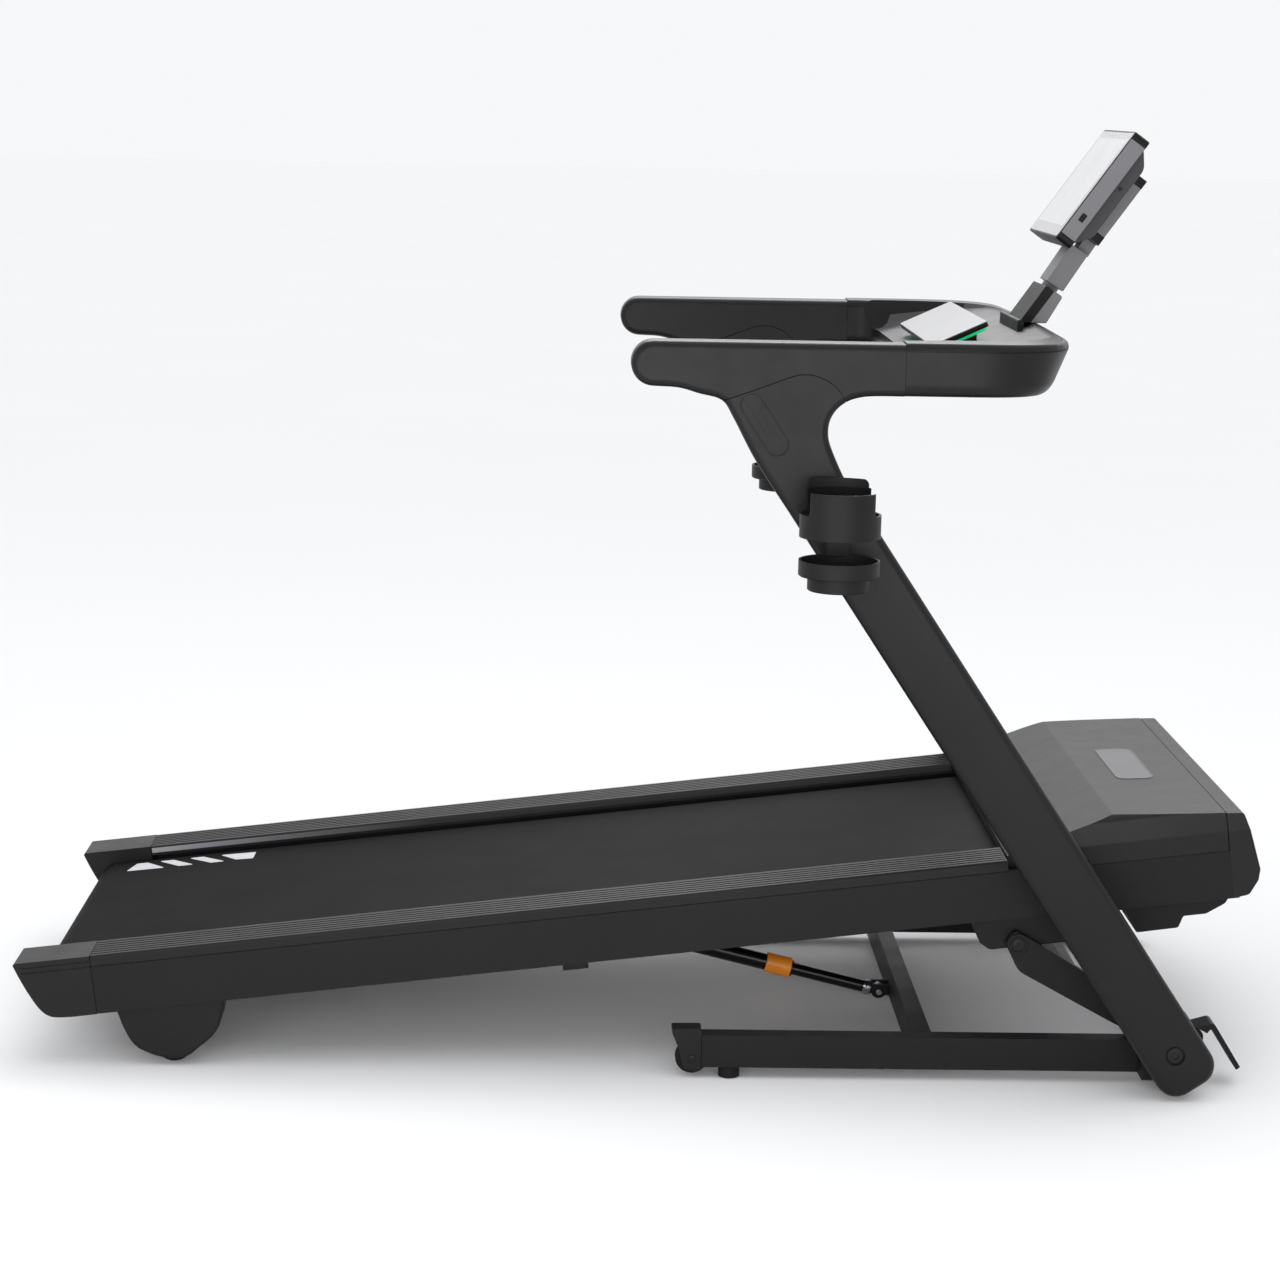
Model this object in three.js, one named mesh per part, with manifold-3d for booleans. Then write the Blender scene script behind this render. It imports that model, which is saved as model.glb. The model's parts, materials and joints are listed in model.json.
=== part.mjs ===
// A folding treadmill with a powered incline, shown at its steepest setting.
// Millimetres. +X runs from the user's back to the motor end, +Y to the user's left, +Z up.
// The floor is Z = 0, and the origin is below the middle of the whole object.
import * as THREE from "three";
import { mergeVertices } from "three/addons/utils/BufferGeometryUtils.js";
import Module from "manifold-3d";

const wasm = await Module();
wasm.setup();

// ---------------------------------------------------------------- driving dimensions
const GAP = 0.4; // clearance between neighbouring pieces
const BORE_GAP = 0.45; // radial clearance of a pin in its hole

// Deck: u runs along it from the lift pivot towards the motor, w is square to it.
const DECK_SLOPE = THREE.MathUtils.degToRad(6.85); // a 12 % grade
const LIFT_PIVOT = { x: 597, z: 212 }; // lift arm's upper pin, origin of the deck's own frame
const BASE_PIVOT = { x: 825.3, z: 75.6 }; // lift arm's lower pin, on the base
const DECK_HALF = 385; // outer face of the side rails
const RAIL_INNER = 297; // inner face of the foot rails
const RAIL_REAR = -1445;
const RAIL_FRONT = -8;
const RAIL_BOTTOM = 48.5;
const RAIL_SEAM = 124.6; // groove between side member and foot rail
const RAIL_TOP = 142.3;
const BELT_TOP = 122;
const BELT_THICKNESS = 2.2;
const BELT_HALF = 279.5;
const REAR_ROLLER = { u: -1508, r: 24 };
const FRONT_ROLLER = { u: 42, r: 30 };

const HOOD_HALF = 362;
const HOOD_SEAM = 115; // between the hood and the lower cover
const CAP_SEAM = 354; // between the hood and its front cap
const HOOD_WALL = 3;

const BASE_HALF = 404; // outer face of the base rails
const TUBE_WIDE = 32;
const TUBE_LOW = 18;
const TUBE_HIGH = 70;
const TUBE_WALL = 2.5;
const BASE_REAR = 101;
const BASE_FRONT = 872;

const UPRIGHT_LEAN = THREE.MathUtils.degToRad(56.1); // from the floor
const UPRIGHT_HALF = 48.4;
const UPRIGHT_OUTER = 498;
const UPRIGHT_INNER = 444;
const UPRIGHT_LENGTH = 1038.6; // above the base pivot
const UPRIGHT_FOOT = 66; // below the base pivot

const ACTUATOR = { u: 150, w: 130 }; // its upper pin, in the deck frame
const RAIL_HAND = { outer: 500, inner: 444, bottom: 1083, top: 1160.5, front: 373, rear: 3 };
const CUP = { x: 277.3, y: 566, r: 59.7, wall: 3.5, low: 799, high: 952 };
const SCREEN = { x: 704.2, z: 1387.8, halfWide: 139, halfTall: 102.5, rim: 28 };
const SCREEN_TILT = THREE.MathUtils.degToRad(35.4); // of the screen's face from upright
const ARM_LEAN = THREE.MathUtils.degToRad(32.7); // of the post and the arm from upright
const ARM_FOOT = { x: 658.8, z: 1215.2 };

const PIN_RADIUS = 10;

const STRUT_LOW = { x: 420, z: 23 };
const STRUT_HIGH = { x: -83, z: 145.6 };

// ---------------------------------------------------------------- materials
const paint = (color, roughness, metalness) =>
  new THREE.MeshStandardMaterial({ color, roughness, metalness });
const looks = {
  paintedSteel: () => paint(0x2b2a2d, 0.55, 0.4),
  plastic: () => paint(0x2e2d30, 0.6, 0),
  lightPlastic: () => paint(0x3a383c, 0.55, 0),
  rubber: () => paint(0x151515, 0.85, 0),
  belt: () => paint(0x1b1b1d, 0.8, 0),
  steel: () => paint(0x9a9a9c, 0.3, 1),
  alloy: () => paint(0x6f6c72, 0.4, 0.6),
  glass: () => paint(0xc8c8cc, 0.1, 0),
  orange: () => paint(0xcd7314, 0.5, 0),
  light: () => paint(0x00a060, 0.4, 0),
  board: () => paint(0x4a3b2c, 0.7, 0),
  red: () => paint(0xb01818, 0.45, 0),
};

// ---------------------------------------------------------------- solids
function solidOf(geometry) {
  const loose = geometry.index ? geometry.toNonIndexed() : geometry;
  const bare = new THREE.BufferGeometry();
  bare.setAttribute("position", loose.getAttribute("position"));
  const merged = mergeVertices(bare, 1e-4);
  const mesh = new wasm.Mesh({
    numProp: 3,
    vertProperties: merged.attributes.position.array,
    triVerts: new Uint32Array(merged.index.array),
  });
  return new wasm.Manifold(mesh);
}

function geometryOf(solid) {
  const mesh = solid.getMesh();
  const geometry = new THREE.BufferGeometry();
  geometry.setAttribute("position", new THREE.BufferAttribute(mesh.vertProperties, 3));
  geometry.setIndex(new THREE.BufferAttribute(mesh.triVerts, 1));
  geometry.computeVertexNormals();
  return geometry;
}

function part(group, name, solid, material) {
  const mesh = new THREE.Mesh(geometryOf(solid), material);
  mesh.name = name;
  group.add(mesh);
  return mesh;
}

function box(x0, x1, y0, y1, z0, z1) {
  const geometry = new THREE.BoxGeometry(x1 - x0, y1 - y0, z1 - z0);
  geometry.translate((x0 + x1) / 2, (y0 + y1) / 2, (z0 + z1) / 2);
  return solidOf(geometry);
}

// An outline whose corners may be rounded: each point is [a, b] or [a, b, trim].
function outline(points) {
  const shape = new THREE.Shape();
  const count = points.length;
  points.forEach(([a, b, trim = 0], i) => {
    const corner = new THREE.Vector2(a, b);
    const before = new THREE.Vector2(...points[(i + count - 1) % count]);
    const after = new THREE.Vector2(...points[(i + 1) % count]);
    const start = before.sub(corner).setLength(trim).add(corner);
    const end = after.sub(corner).setLength(trim).add(corner);
    if (i === 0) shape.moveTo(start.x, start.y);
    else shape.lineTo(start.x, start.y);
    if (trim > 0) shape.quadraticCurveTo(corner.x, corner.y, end.x, end.y);
  });
  shape.closePath();
  return shape;
}

function extrude(shape, depth, bevel, curveSegments) {
  return new THREE.ExtrudeGeometry(shape, {
    depth: depth - 2 * bevel,
    curveSegments,
    bevelEnabled: bevel > 0,
    bevelThickness: bevel,
    bevelSize: bevel,
    bevelOffset: -bevel,
    bevelSegments: 2,
  }).translate(0, 0, bevel);
}

// A side view in X and Z, given thickness along Y.
function fromSide(shape, y0, y1, bevel = 0, curveSegments = 4) {
  const geometry = extrude(shape, y1 - y0, bevel, curveSegments);
  geometry.rotateX(Math.PI / 2).translate(0, y1, 0);
  return solidOf(geometry);
}

// A plan in X and Y, given thickness along Z.
function fromAbove(shape, z0, z1, bevel = 0, curveSegments = 4) {
  return solidOf(extrude(shape, z1 - z0, bevel, curveSegments).translate(0, 0, z0));
}

// A cross-section in Y and Z, run along X.
function alongX(shape, x0, x1, curveSegments = 4) {
  const geometry = extrude(shape, x1 - x0, 0, curveSegments);
  geometry.rotateX(Math.PI / 2).rotateZ(Math.PI / 2).translate(x0, 0, 0);
  return solidOf(geometry);
}

function drumY(x, z, radius, y0, y1, sides = 24) {
  const geometry = new THREE.CylinderGeometry(radius, radius, y1 - y0, sides);
  return solidOf(geometry.translate(x, (y0 + y1) / 2, z));
}

function drumZ(x, y, radius, z0, z1, sides = 24) {
  const geometry = new THREE.CylinderGeometry(radius, radius, z1 - z0, sides);
  geometry.rotateX(Math.PI / 2).translate(x, y, (z0 + z1) / 2);
  return solidOf(geometry);
}

// A wheel, roller or pulley about Y, from [radius, y] pairs that start and end on the axis.
function turnedY(x, z, profile, sides = 24) {
  const points = profile.map(([r, y]) => new THREE.Vector2(r, y));
  return solidOf(new THREE.LatheGeometry(points, sides).translate(x, 0, z));
}

const join = (...solids) => solids.reduce((a, b) => a.add(b));
const cut = (body, ...tools) => tools.reduce((a, b) => a.subtract(b), body);

// The user's right is -Y. span() gives the low and high Y of a piece on one side.
const SIDES = [
  ["right", -1],
  ["left", 1],
];
const span = (side, inner, outer) => [side * inner, side * outer].sort((a, b) => a - b);

// ---------------------------------------------------------------- base
// A base rail: a rectangular tube, the block that carries the upright, and the lift handle.
function baseRail(side) {
  const [y0, y1] = span(side, BASE_HALF - TUBE_WIDE, BASE_HALF);
  const tube = cut(
    box(BASE_REAR, BASE_FRONT, y0, y1, TUBE_LOW, TUBE_HIGH),
    box(
      BASE_REAR - 1,
      BASE_FRONT - 100,
      y0 + TUBE_WALL,
      y1 - TUBE_WALL,
      TUBE_LOW + TUBE_WALL,
      TUBE_HIGH - TUBE_WALL,
    ),
  );
  const [b0, b1] = span(side, BASE_HALF - TUBE_WIDE, UPRIGHT_INNER - GAP);
  const block = box(786, 864, b0, b1, TUBE_LOW, 108);
  const nose = fromSide(
    outline([
      [860, TUBE_LOW],
      [884, TUBE_LOW, 6],
      [889, 84, 8],
      [860, 92],
    ]),
    y0,
    y1,
  );
  const handle = fromSide(
    outline([
      [858, 80],
      [880, 91],
      [893, 84],
      [899, 92, 5],
      [941.8, 24.9],
      [948, 29.5],
      [903, 101, 6],
      [858, 88],
    ]),
    ...span(side, BASE_HALF - 38, BASE_HALF + 6),
  );
  const [w0, w1] = span(side, BASE_HALF - 27, BASE_HALF - 5);
  const wheelNotch = box(BASE_REAR - 1, 115, w0, w1, TUBE_LOW - 5, TUBE_LOW + 10);
  const [p0, p1] = span(side, BASE_HALF - TUBE_WIDE - 5, UPRIGHT_INNER - 20);
  const bore = drumY(BASE_PIVOT.x, BASE_PIVOT.z, PIN_RADIUS + BORE_GAP, p0, p1);
  return cut(join(cut(tube, wheelNotch), block, nose, handle), bore);
}

// A rail end cap holds the transport wheel between two cheeks.
const WHEEL = { x: 85.8, z: 31.3, r: 26, half: 9 };
function railEndCap(side) {
  const [y0, y1] = span(side, BASE_HALF - TUBE_WIDE, BASE_HALF);
  const [w0, w1] = span(side, BASE_HALF - 16 - 11, BASE_HALF - 16 + 11);
  const body = fromSide(
    outline([
      [WHEEL.x - 13, 14, 8],
      [WHEEL.x + 14.5, 12, 8],
      [BASE_REAR - GAP, 30],
      [BASE_REAR - GAP, 80.5, 4],
      [53.4, 79.8, 3],
      [55, 71],
      [63.5, 52],
    ]),
    y0,
    y1,
  );
  const mouth = join(
    drumY(WHEEL.x, WHEEL.z, WHEEL.r + 2.5, w0, w1),
    box(WHEEL.x - 29, WHEEL.x + 8, w0, w1, 5, WHEEL.z),
  );
  const axle = drumY(WHEEL.x, WHEEL.z, 5, y0 + 1, y1 - 1, 16);
  return join(cut(body, mouth), axle);
}

function transportWheel(side) {
  const y = side * (BASE_HALF - 16);
  const bore = 5 + BORE_GAP;
  const solid = turnedY(WHEEL.x, WHEEL.z, [
    [bore, y - WHEEL.half],
    [WHEEL.r - 3, y - WHEEL.half],
    [WHEEL.r, y - WHEEL.half + 3],
    [WHEEL.r, y + WHEEL.half - 3],
    [WHEEL.r - 3, y + WHEEL.half],
    [bore, y + WHEEL.half],
    [bore, y - WHEEL.half],
  ]);
  return solid;
}

function foot(x, side, radius) {
  const y = side * (BASE_HALF - TUBE_WIDE / 2);
  return drumZ(x, y, radius, 0, TUBE_LOW - GAP, 20);
}

// Points on an upright: s along it from the base pivot, t towards the front.
const UPRIGHT_AXIS = { x: -Math.cos(UPRIGHT_LEAN), z: Math.sin(UPRIGHT_LEAN) };
const onUpright = (s, t, trim = 0) => [
  BASE_PIVOT.x + s * UPRIGHT_AXIS.x + t * UPRIGHT_AXIS.z,
  BASE_PIVOT.z + s * UPRIGHT_AXIS.z - t * UPRIGHT_AXIS.x,
  trim,
];

function upright(side) {
  const wall = 3;
  const bottomTrim = 34;
  const profile = (inset, top) =>
    outline([
      onUpright(inset - UPRIGHT_FOOT, inset - UPRIGHT_HALF, bottomTrim - inset),
      onUpright(inset - UPRIGHT_FOOT, UPRIGHT_HALF - inset, bottomTrim - inset),
      onUpright(top, UPRIGHT_HALF - inset),
      onUpright(top, inset - UPRIGHT_HALF),
    ]);
  const [y0, y1] = span(side, UPRIGHT_INNER, UPRIGHT_OUTER);
  const shell = fromSide(profile(0, UPRIGHT_LENGTH + 10), y0, y1, 10);
  const hollow = fromSide(profile(wall, UPRIGHT_LENGTH + 30), y0 + wall, y1 - wall, 7);
  const reach = UPRIGHT_LENGTH;
  const aboveTop = fromSide(
    outline([
      onUpright(reach, -90),
      onUpright(reach, 90),
      onUpright(reach + 60, 90),
      onUpright(reach + 60, -90),
    ]),
    y0 - 5,
    y1 + 5,
  );
  return cut(shell, hollow, aboveTop);
}

// The seam between a handrail and the pod below it, from the back to the front.
const seam = (lift) =>
  [
    [104, 1073.5],
    [152.5, 1090.5],
    [206, 1110.5],
    [223, 1113.8],
    [240, 1112.5],
    [261, 1104],
    [277, 1090],
    [287, 1073],
  ].map(([x, z]) => new THREE.Vector2(x, z + lift));

function pod(side) {
  const top = seam(-GAP).reverse();
  const shape = new THREE.Shape();
  shape.moveTo(...onUpright(UPRIGHT_LENGTH + GAP, -UPRIGHT_HALF));
  shape.lineTo(...onUpright(UPRIGHT_LENGTH + GAP, UPRIGHT_HALF));
  shape.splineThru([
    new THREE.Vector2(267.3, 1006),
    new THREE.Vector2(262.5, 1026),
    new THREE.Vector2(264.4, 1045),
    top[0],
  ]);
  shape.splineThru(top.slice(1));
  shape.splineThru([
    new THREE.Vector2(120, 1048),
    new THREE.Vector2(155.6, 985.4),
    new THREE.Vector2(...onUpright(UPRIGHT_LENGTH + GAP, -UPRIGHT_HALF)),
  ]);
  return fromSide(shape, ...span(side, RAIL_HAND.inner, RAIL_HAND.outer - 2), 0, 3);
}

function handrail(side) {
  const { bottom, top, front, rear } = RAIL_HAND;
  const radius = (top - 1093) / 2;
  const joinLine = seam(GAP);
  const shape = new THREE.Shape();
  shape.moveTo(rear, top);
  shape.absarc(rear, top - radius, radius, Math.PI / 2, (3 * Math.PI) / 2, false);
  shape.splineThru([
    new THREE.Vector2(40, 1091),
    new THREE.Vector2(70, 1083),
    joinLine[0],
  ]);
  shape.splineThru(joinLine.slice(1));
  shape.splineThru([new THREE.Vector2(305, 1080.5), new THREE.Vector2(338, bottom)]);
  shape.lineTo(front, bottom);
  shape.lineTo(front, top);
  return fromSide(shape, ...span(side, RAIL_HAND.inner, RAIL_HAND.outer), 0, 3);
}

// ---------------------------------------------------------------- console
function consolePlan(inset) {
  const outer = RAIL_HAND.outer - inset;
  const inner = RAIL_HAND.inner + inset;
  const rear = RAIL_HAND.front + GAP + (inset > 0 ? 6 : 0);
  const wall = 425 + inset;
  const front = 641 - inset;
  return outline([
    [rear, -outer],
    [front - 10, -outer, 150 - inset],
    [front + 2, 0, 200],
    [front - 10, outer, 150 - inset],
    [rear, outer],
    [rear, inner],
    [wall, inner, 45],
    [wall, -inner, 45],
    [rear, -inner],
  ]);
}

const CONSOLE = { low: 1083, high: 1163, roof: 1100, dishRear: 1112, dishFront: 1157 };
const PANEL_TILT = THREE.MathUtils.degToRad(24.6);
const PANEL = { x: 442, z: 1138, long: 95.5, half: 225, thick: 9 };

function consoleShell() {
  const body = fromAbove(consolePlan(0), CONSOLE.low, CONSOLE.high, 8, 6);
  const hollow = fromAbove(consolePlan(6), CONSOLE.low - 5, CONSOLE.roof, 0, 4);
  const dish = fromSide(
    outline([
      [418, CONSOLE.dishRear],
      [596, CONSOLE.dishFront],
      [600, 1200],
      [418, 1200],
    ]),
    -425,
    425,
  );
  const rest = fromSide(
    outline([
      [462, 1110],
      [520, 1110],
      [520, 1155],
      [462, 1129],
    ]),
    -180,
    180,
  );
  const pad = fromSide(
    outline([
      [596, 1150],
      [602.5, 1150],
      [602.5, 1170],
      [596, 1173],
    ]),
    -100,
    100,
  );
  const frontDraft = fromSide(
    outline([
      [643, CONSOLE.high - 12],
      [700, CONSOLE.high - 12],
      [700, CONSOLE.low - 5],
      [612, CONSOLE.low - 5],
    ]),
    -505,
    505,
  );
  const { x, y, z } = KEY;
  const keySlot = box(x - 5, x + 16, y - 10, y + 10, z - 6, z + 6);
  return cut(join(cut(body, hollow, dish, frontDraft), rest, pad), keySlot);
}

// The magnetic safety key, pulled out of the console's rear wall towards the user.
const KEY = { x: 425, y: -150, z: 1092 };
function safetyKey() {
  const { x, y, z } = KEY;
  const head = box(x - 19, x - GAP, y - 15, y + 15, z - 8, z + 9);
  const stem = box(x - 1, x + 12, y - 9, y + 9, z - 5, z + 5);
  return join(head, stem);
}

function consolePanel() {
  const { long, half, thick } = PANEL;
  const plan = outline([
    [0, -half, 5],
    [long, -half, 5],
    [long, half, 5],
    [0, half, 5],
  ]);
  return fromAbove(plan, -thick, 0, 0, 2);
}

function consoleLightStrip() {
  const { long, half, thick } = PANEL;
  const plan = outline([
    [4, -half + 6, 20],
    [long - 3, -half + 6, 20],
    [long - 3, half - 6, 20],
    [4, half - 6, 20],
  ]);
  return fromAbove(plan, -thick - 5, -thick - GAP, 0, 3);
}

const cupRing = (outer, inner, low, high) =>
  cut(
    drumZ(CUP.x, 0, outer, low, high, 32),
    drumZ(CUP.x, 0, inner, low - 1, high + 1, 32),
  );

// The cup holder is drawn about Y = 0 with the upright on its +Y side, then put in its place.
function cupHolder(side) {
  const inside = CUP.r - CUP.wall;
  const body = join(
    cupRing(CUP.r, inside, 824, CUP.high),
    drumZ(CUP.x, 0, CUP.r, 824, 828, 32),
    drumZ(CUP.x, 0, 46, CUP.low, 825, 32),
  );
  const notchLow = 918;
  const notches = [-1, 1].map((end) =>
    box(
      ...span(end, CUP.x * end + 47, CUP.x * end + 70),
      -70,
      70,
      notchLow,
      CUP.high + 5,
    ),
  );
  const windowFront = box(CUP.x - 50, CUP.x + 50, -70, -5, 850, 884);
  const windowsBack = [-1, 1].map((end) =>
    box(...span(end, CUP.x * end + 18, CUP.x * end + 50), 0, 70, 850, 884),
  );
  const arm = box(
    CUP.x - 17,
    CUP.x + 17,
    inside + 1,
    CUP.y - UPRIGHT_OUTER - GAP,
    846,
    930,
  );
  const solid = join(cut(body, ...notches, windowFront, ...windowsBack), arm);
  return side < 0 ? solid.translate([0, -CUP.y, 0]) : solid.mirror([0, 1, 0]).translate([0, CUP.y, 0]);
}

// ---------------------------------------------------------------- screen
function screenPost() {
  return fromSide(
    outline([
      [603, CONSOLE.high + GAP],
      [647.5, CONSOLE.high + GAP],
      [672.3, 1206.5, 3],
      [645.3, 1223.9, 3],
    ]),
    -65,
    65,
    2,
  );
}

// Drawn in its own frame: z along the arm, x square to it, from the top of the post.
const TILT_PIN = { along: 103, across: 9 };
function screenArm() {
  const collar = drumZ(0, 0, 14, GAP, 9, 20);
  const bar = box(-16, 16, -37, 37, 8, 78);
  const ear = box(-2, 20, -22, 22, 76, 104);
  const slot = box(-10, 30, -14, 14, 86, 120);
  const barrel = drumY(TILT_PIN.across, TILT_PIN.along, 6, -22, 22, 16);
  return join(cut(join(collar, bar, ear), slot), barrel);
}

// Drawn in the screen's own frame: x back from its face, z up along it.
function screenHousing() {
  const { halfWide, halfTall, rim } = SCREEN;
  const frame = alongX(
    outline([
      [-halfWide, -halfTall, 6],
      [halfWide, -halfTall, 6],
      [halfWide, halfTall, 6],
      [-halfWide, halfTall, 6],
    ]),
    0,
    rim,
  );
  const bulge = fromSide(
    outline([
      [rim - 1, -halfTall + 4],
      [52, -halfTall + 36],
      [52, halfTall - 36],
      [rim - 1, halfTall - 6],
    ]),
    -halfWide + 14,
    halfWide - 14,
  );
  const bed = box(-1, 4, -halfWide + 4, halfWide - 4, -halfTall + 4, halfTall - 4);
  const hollow = box(3, rim - 3, -halfWide + 6, halfWide - 6, -halfTall + 6, halfTall - 6);
  return cut(join(frame, bulge), bed, hollow);
}

function screenGlass() {
  const { halfWide, halfTall } = SCREEN;
  const edge = 4 + GAP;
  return box(0.4, 3.6, edge - halfWide, halfWide - edge, edge - halfTall, halfTall - edge);
}

// The mount's knuckle turns on the arm's barrel.
const KNUCKLE = { depth: 67.1, up: -63.7, half: 13.5 };
function screenMount() {
  const { depth, up, half } = KNUCKLE;
  const plate = box(52 + GAP, 77, -50, 50, -67, 60);
  const room = drumY(depth, up, 17, -24, 24);
  const knuckle = drumY(depth, up, 11, -half, half, 20);
  const web = box(56, 76, -half, half, up, up + 25);
  const bore = drumY(depth, up, 6 + BORE_GAP, -30, 30, 16);
  return cut(join(cut(plate, room), knuckle, web), bore);
}

// ---------------------------------------------------------------- lift frame
// Two arms and a cross tube, welded. Drawn from the upper pin: s towards the base pin, t up.
const ARM_DX = BASE_PIVOT.x - LIFT_PIVOT.x;
const ARM_DZ = BASE_PIVOT.z - LIFT_PIVOT.z;
const ARM_LENGTH = Math.hypot(ARM_DX, ARM_DZ);
const ARM_ANGLE = Math.atan2(ARM_DZ, ARM_DX);
const ARM_OUTER = 362;
const ARM_INNER = 350;

function liftFrame() {
  const hole = PIN_RADIUS + BORE_GAP;
  const arms = SIDES.map(([, side]) => {
    const plate = fromSide(
      outline([
        [-17, -10, 6],
        [25, -37, 10],
        [210, -29.5, 20],
        [ARM_LENGTH + 16, -16, 12],
        [ARM_LENGTH + 16, 16, 12],
        [-17, 17, 12],
      ]),
      ...span(side, ARM_INNER, ARM_OUTER),
    );
    const [y0, y1] = span(side, ARM_INNER - 5, ARM_OUTER + 5);
    return cut(plate, drumY(0, 0, hole, y0, y1), drumY(ARM_LENGTH, 0, hole, y0, y1));
  });
  const tube = box(95, 125, -ARM_INNER - 2, ARM_INNER + 2, -27, 3);
  const lug = box(104, 116, -12, 12, 0, 16);
  return join(...arms, tube, lug);
}

function liftPin(side) {
  const pin = drumY(BASE_PIVOT.x, BASE_PIVOT.z, PIN_RADIUS, ...span(side, 346, 423));
  return pin;
}

// ---------------------------------------------------------------- deck, in its own frame
function deckFrame() {
  const sides = SIDES.map(([, side]) =>
    cut(
      box(RAIL_REAR + GAP, 118, ...span(side, 340, DECK_HALF - 1), RAIL_BOTTOM, RAIL_SEAM),
      box(
        RAIL_REAR - 5,
        110,
        ...span(side, 342.5, DECK_HALF - 3.5),
        RAIL_BOTTOM + 2.5,
        RAIL_SEAM - 2.5,
      ),
    ),
  );
  const channel = (u0, u1, half, w0, w1) =>
    cut(
      box(u0, u1, -half, half, w0, w1),
      box(u0 + 3, u1 - 3, 3 - half, half - 3, w0 - 1, w1 - 3),
    );
  const ribs = [-1120, -640, -160].map((u) => channel(u - 20, u + 20, 341, 74, 98));
  const front = channel(82, 108, 341, 74, 104);
  const strutBar = channel(-716, -676, 345, 28, 53);
  const ears = SIDES.map(([, side]) => box(-698, -674, ...span(side, 12, 18), 8, 52));
  const brackets = SIDES.map(([, side]) => {
    const plate = fromSide(
      outline([
        [-67, 52],
        [-67, 30],
        [-58, 4],
        [-44, -9, 5],
        [86, -9],
        [86, 52],
      ]),
      ...span(side, 338, 348),
    );
    const pin = drumY(0, 0, PIN_RADIUS, ...span(side, 340, ARM_OUTER + 3));
    return join(plate, pin);
  });
  const actuatorEars = SIDES.map(([, side]) =>
    fromSide(
      outline([
        [90, 96],
        [108, 96],
        [158, 122],
        [158, 137],
        [140, 137],
        [90, 104],
      ]),
      ...span(side, 18, 22),
    ),
  );
  const actuatorPin = drumY(ACTUATOR.u, ACTUATOR.w, 5, -21, 21, 16);
  return join(
    ...sides,
    ...ribs,
    front,
    strutBar,
    ...ears,
    ...brackets,
    ...actuatorEars,
    actuatorPin,
  );
}

// A foot rail: a grooved top and a lip down its outer face.
function footRail(side) {
  const grooves = 5;
  const top = [];
  for (let i = 0; i <= grooves * 4; i++) {
    const y = RAIL_INNER + 8 + (i * 64) / (grooves * 4);
    const dip = i % 4 === 1 || i % 4 === 2 ? 1.6 : 0;
    top.push([y, RAIL_TOP - dip]);
  }
  const section = [
    [RAIL_INNER, RAIL_SEAM + GAP],
    [DECK_HALF, RAIL_SEAM + GAP],
    [DECK_HALF, RAIL_TOP - 3],
    [DECK_HALF - 3, RAIL_TOP],
    ...top.reverse(),
    [RAIL_INNER + 3, RAIL_TOP],
    [RAIL_INNER, RAIL_TOP - 3],
  ];
  const placed = side > 0 ? section : section.map(([y, w]) => [-y, w]).reverse();
  return alongX(outline(placed), RAIL_REAR + GAP, RAIL_FRONT);
}

// The moulded end of a rail, which also closes the roller's side.
function railEndCover(side) {
  const body = fromSide(
    outline([
      [RAIL_REAR, RAIL_BOTTOM - 0.5],
      [RAIL_REAR, RAIL_TOP],
      [-1564.8, RAIL_TOP, 3],
      [-1556, 106, 6],
      [-1541, 74, 8],
      [-1516, 51, 10],
      [-1470, 47],
    ]),
    ...span(side, RAIL_INNER, DECK_HALF),
  );
  const axle = drumY(
    REAR_ROLLER.u,
    BELT_TOP - BELT_THICKNESS - REAR_ROLLER.r,
    8 + BORE_GAP,
    ...span(side, RAIL_INNER - 5, RAIL_INNER + 30),
  );
  return cut(body, axle);
}

function deckBoard() {
  return box(-1468, -2, -288, 288, 98.5, BELT_TOP - BELT_THICKNESS - GAP);
}

const rollerHeight = (roller) => BELT_TOP - BELT_THICKNESS - roller.r;

// The outline of a belt round two round things, from arcs at each end.
function loopOutline(a, b, offset) {
  const shape = new THREE.Path();
  const ra = a.r + offset;
  const rb = b.r + offset;
  const lean = Math.atan2(b.w - a.w, b.u - a.u);
  const spread = Math.acos((ra - rb) / Math.hypot(b.u - a.u, b.w - a.w));
  const steps = 14;
  const points = [];
  for (let i = 0; i <= steps; i++) {
    const angle = lean + spread + (i / steps) * (2 * Math.PI - 2 * spread);
    points.push(new THREE.Vector2(a.u + ra * Math.cos(angle), a.w + ra * Math.sin(angle)));
  }
  for (let i = 0; i <= steps; i++) {
    const angle = lean - spread + (i / steps) * 2 * spread;
    points.push(new THREE.Vector2(b.u + rb * Math.cos(angle), b.w + rb * Math.sin(angle)));
  }
  shape.setFromPoints(points);
  return shape;
}

function beltLoop(a, b, thickness, y0, y1) {
  const outer = new THREE.Shape(loopOutline(a, b, GAP + thickness).getPoints());
  outer.holes.push(loopOutline(a, b, GAP));
  return fromSide(outer, y0, y1);
}

const rearRollerPlace = { ...REAR_ROLLER, w: rollerHeight(REAR_ROLLER) };
const frontRollerPlace = { ...FRONT_ROLLER, w: rollerHeight(FRONT_ROLLER) };
const MOTOR = { u: 232, w: 66, r: 48, pulley: 25 };
const PULLEY = { r: 38, inner: 305, outer: 325 };

function runningBelt() {
  return beltLoop(
    { ...rearRollerPlace, r: REAR_ROLLER.r - GAP },
    { ...frontRollerPlace, r: FRONT_ROLLER.r - GAP },
    BELT_THICKNESS,
    -BELT_HALF,
    BELT_HALF,
  );
}

function rearRoller() {
  const r = REAR_ROLLER.r - GAP;
  return turnedY(REAR_ROLLER.u, rearRollerPlace.w, [
    [0, -320],
    [8, -320],
    [8, -292],
    [r, -292],
    [r, 292],
    [8, 292],
    [8, 320],
    [0, 320],
  ]);
}

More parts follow.
